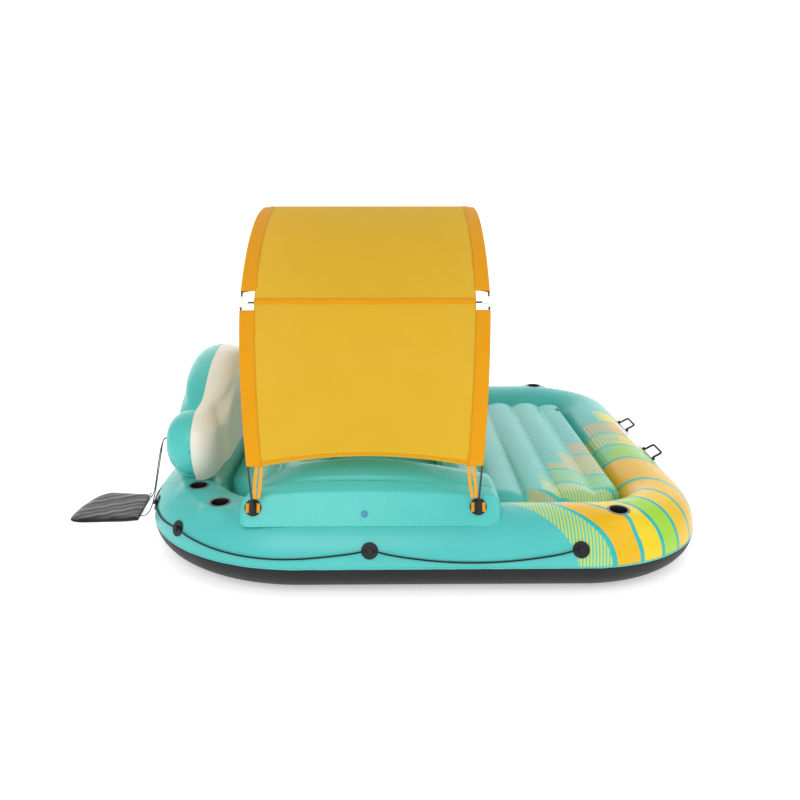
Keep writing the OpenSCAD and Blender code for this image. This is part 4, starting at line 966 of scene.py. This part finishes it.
def sleeve(name, side, hand, low, high):
    """A pole sleeve: the cloth runs from a seam on the panel over the pole, round it and back under."""
    share = np.linspace(low, high, 90)
    turn = np.radians(np.linspace(95, -95, 15))
    over = [(-0.0700, 0.0), (-0.052, 0.0002), (-0.034, 0.0006), (-0.018, 0.0012)]
    loop = [(0.0068 * math.cos(a), -CLOTH_OFF + 0.0001 + 0.0068 * math.sin(a)) for a in turn]
    under = [(-0.018, -0.0100), (-0.034, -0.0050), (-0.052, -0.0018), (-0.0690, -0.0012)]
    contour = np.array([*over, *loop, *under])
    inner = contour.copy()
    inner[:, 1] += np.where(np.arange(len(contour)) < 11, -0.0006, 0.0006)
    inner[4:-4] = np.array([(0.0061 * math.cos(a), -CLOTH_OFF + 0.0001 + 0.0061 * math.sin(a)) for a in turn])

    def skin(line):
        gather = wave(share, 0.05, 95 + side + 3 * hand)[:, None] * 0.0012 * np.clip(-line[None, :, 0] / 0.02, 0, 1)
        off = CLOTH_OFF + line[None, :, 1] + gather
        y, z = cloth_across(np.broadcast_to(share[:, None], off.shape), off)
        x = CANOPY_X + side * (pole_x(z) + line[None, :, 0])
        return np.stack([x, hand * y, z], 2)

    outer = skin(contour)
    run = run_along(outer[:, 0])
    across = run_along(contour)
    uv = np.stack(np.broadcast_arrays(across[None, :], run[:, None]), 2)
    made = shell(name, outer, skin(inner), SLEEVE_CLOTH, uv)
    fit(made, "canopy")


def band(name, skin, face, row, half, rows, lift, material):
    """A doubled strip sewn on the panel: raised over its middle, and tapered into the cloth at its edges."""
    shape = np.linspace(-1, 1, 2 * rows + 1)
    part = slice(row - rows, row + rows + 1)
    raised = 0.0006 + lift * np.exp(-((shape * half / 0.007) ** 2)) + 0.0004 * (1 - shape**2)
    upper = skin[part] + face[part] * raised[:, None, None]
    lower = skin[part] - face[part] * 0.0008
    uv = np.stack([upper[..., 0], np.broadcast_to((shape * half)[:, None], upper.shape[:2])], 2)
    made = shell(name, upper, lower, material, uv)
    fit(made, "canopy")


def strap_set(name, node, body, runs):
    """Several webbing strips as one piece: each run is its points and the direction of its width."""
    parts = []
    for k, (line, wide) in enumerate(runs):
        parts.append(ribbon(f"{name}_{k}", smooth_line(line, 40), np.tile(wide, (40, 1)), STRAP_W, STRAP_T, WEBBING))
    made = joined(name, parts)
    fit(made, body, node)


def straps():
    """Two straps from each corner of the hem to its foot, a little twisted, and the loops on each foot's disc."""
    hem_y = float(cloth_across(0.0, CLOTH_OFF)[0])
    hanging, lashed = [], []
    for side in (-1, 1):
        for hand in (-1, 1):
            for spread in (-1, 1):
                low_x = CANOPY_X + side * (FEET_SPAN / 2 - 0.022) + spread * 0.009
                high_x = CANOPY_X + side * (FEET_SPAN / 2 - 0.042) + spread * 0.011
                low = np.array([low_x, hand * hem_y, FOOT_TOP + 0.004])
                high = np.array([high_x, hand * hem_y, HEM_Z + 0.0002])
                middle = (low + high) / 2 + [spread * 0.003, hand * 0.0015, 0]
                hanging.append(([low, middle, high], (1, 0.12 * spread, 0)))
            turn = -hand * (math.pi / 2 - FACET_LEAN)
            spin = np.array([[1, 0, 0], [0, math.cos(turn), -math.sin(turn)], [0, math.sin(turn), math.cos(turn)]])
            foot = np.array([CANOPY_X + side * FEET_SPAN / 2, hand * BASE_Y, FOOT_Z])
            for x in (-0.0255, 0.0255):
                arch = ((-0.024, 0.0072), (-0.018, 0.0074), (-0.002, 0.0078), (0.014, 0.0074), (0.020, 0.0072))
                local = np.array([(x, *point) for point in arch])
                lashed.append((foot + local @ spin.T, (1, 0, 0)))
    strap_set("hem_straps", "canopy_straps", "canopy", hanging)
    strap_set("disc_loops", "lash_loops", "root", lashed)


SKIN, FACE = canopy_panel()
for side, end in ((-1, "rear"), (1, "front")):
    for hand, word in ((-1, "near"), (1, "far")):
        sleeve(f"{word}_{end}_lower_sleeve", side, hand, 0.0, 0.5 - TEE_CLEAR)
        sleeve(f"{word}_{end}_upper_sleeve", side, hand, 0.5 + TEE_CLEAR, 1 - TEE_CLEAR)
for row, name in ((105, "near"), (210, "ridge"), (315, "far")):
    band(f"{name}_bar_band", SKIN, FACE, row, 0.0165, 2, 0.0012, SLEEVE_CLOTH)
for row, name in ((2, "near"), (418, "far")):
    band(f"{name}_hem_band", SKIN, FACE, row, 0.008, 1, 0.0, SLEEVE_CLOTH)
straps()


# ---------------------------------------------------------------- ground and light
def studio():
    """A white ground and backdrop that glow a little like lit paper, a pale surround, a broad key from above the near
    side and a fill."""
    white = (1, 1, 1, 1)
    material, shader = blank("lit_white_studio_paper")
    wire(material, shader, {"Base Color": srgb("#F2F2F2"), "Roughness": 0.95, "Specular IOR Level": 0.0})
    wire(material, shader, {"Emission Color": white, "Emission Strength": 0.42})
    behind = material.copy()
    behind.name = "glowing_white_backdrop"
    behind.node_tree.nodes["Principled BSDF"].inputs["Emission Strength"].default_value = 0.9
    for name, size, place, turn, paper in (
        ("studio_ground", 60, (0, 0, -0.0005), 0, material),
        ("studio_backdrop", 60, (0, 22, 29.9), math.pi / 2, behind),
    ):
        bpy.ops.mesh.primitive_plane_add(size=size, location=place, rotation=(turn, 0, 0))
        made = bpy.context.object
        made.name = name
        made.data.materials.append(paper)
    world = bpy.data.worlds.new("studio_surround")
    world.use_nodes = True
    wire(world, world.node_tree.nodes["Background"], {"Color": white, "Strength": 0.64})
    SCENE.world = world
    for name, energy, place in (("key", 155, (-1.8, -5.6, 4.2)), ("fill", 60, (3.8, -3.5, 3.2))):
        light = bpy.data.lights.new(name, "AREA")
        light.energy, light.size = energy, 4.0
        made = bpy.data.objects.new(name, light)
        made.location = place
        aim = Vector((0, 0, 0.5)) - Vector(place)
        made.rotation_euler = aim.to_track_quat("-Z", "Y").to_euler()
        SCENE.collection.objects.link(made)
    SCENE.view_settings.view_transform = "Standard"


studio()
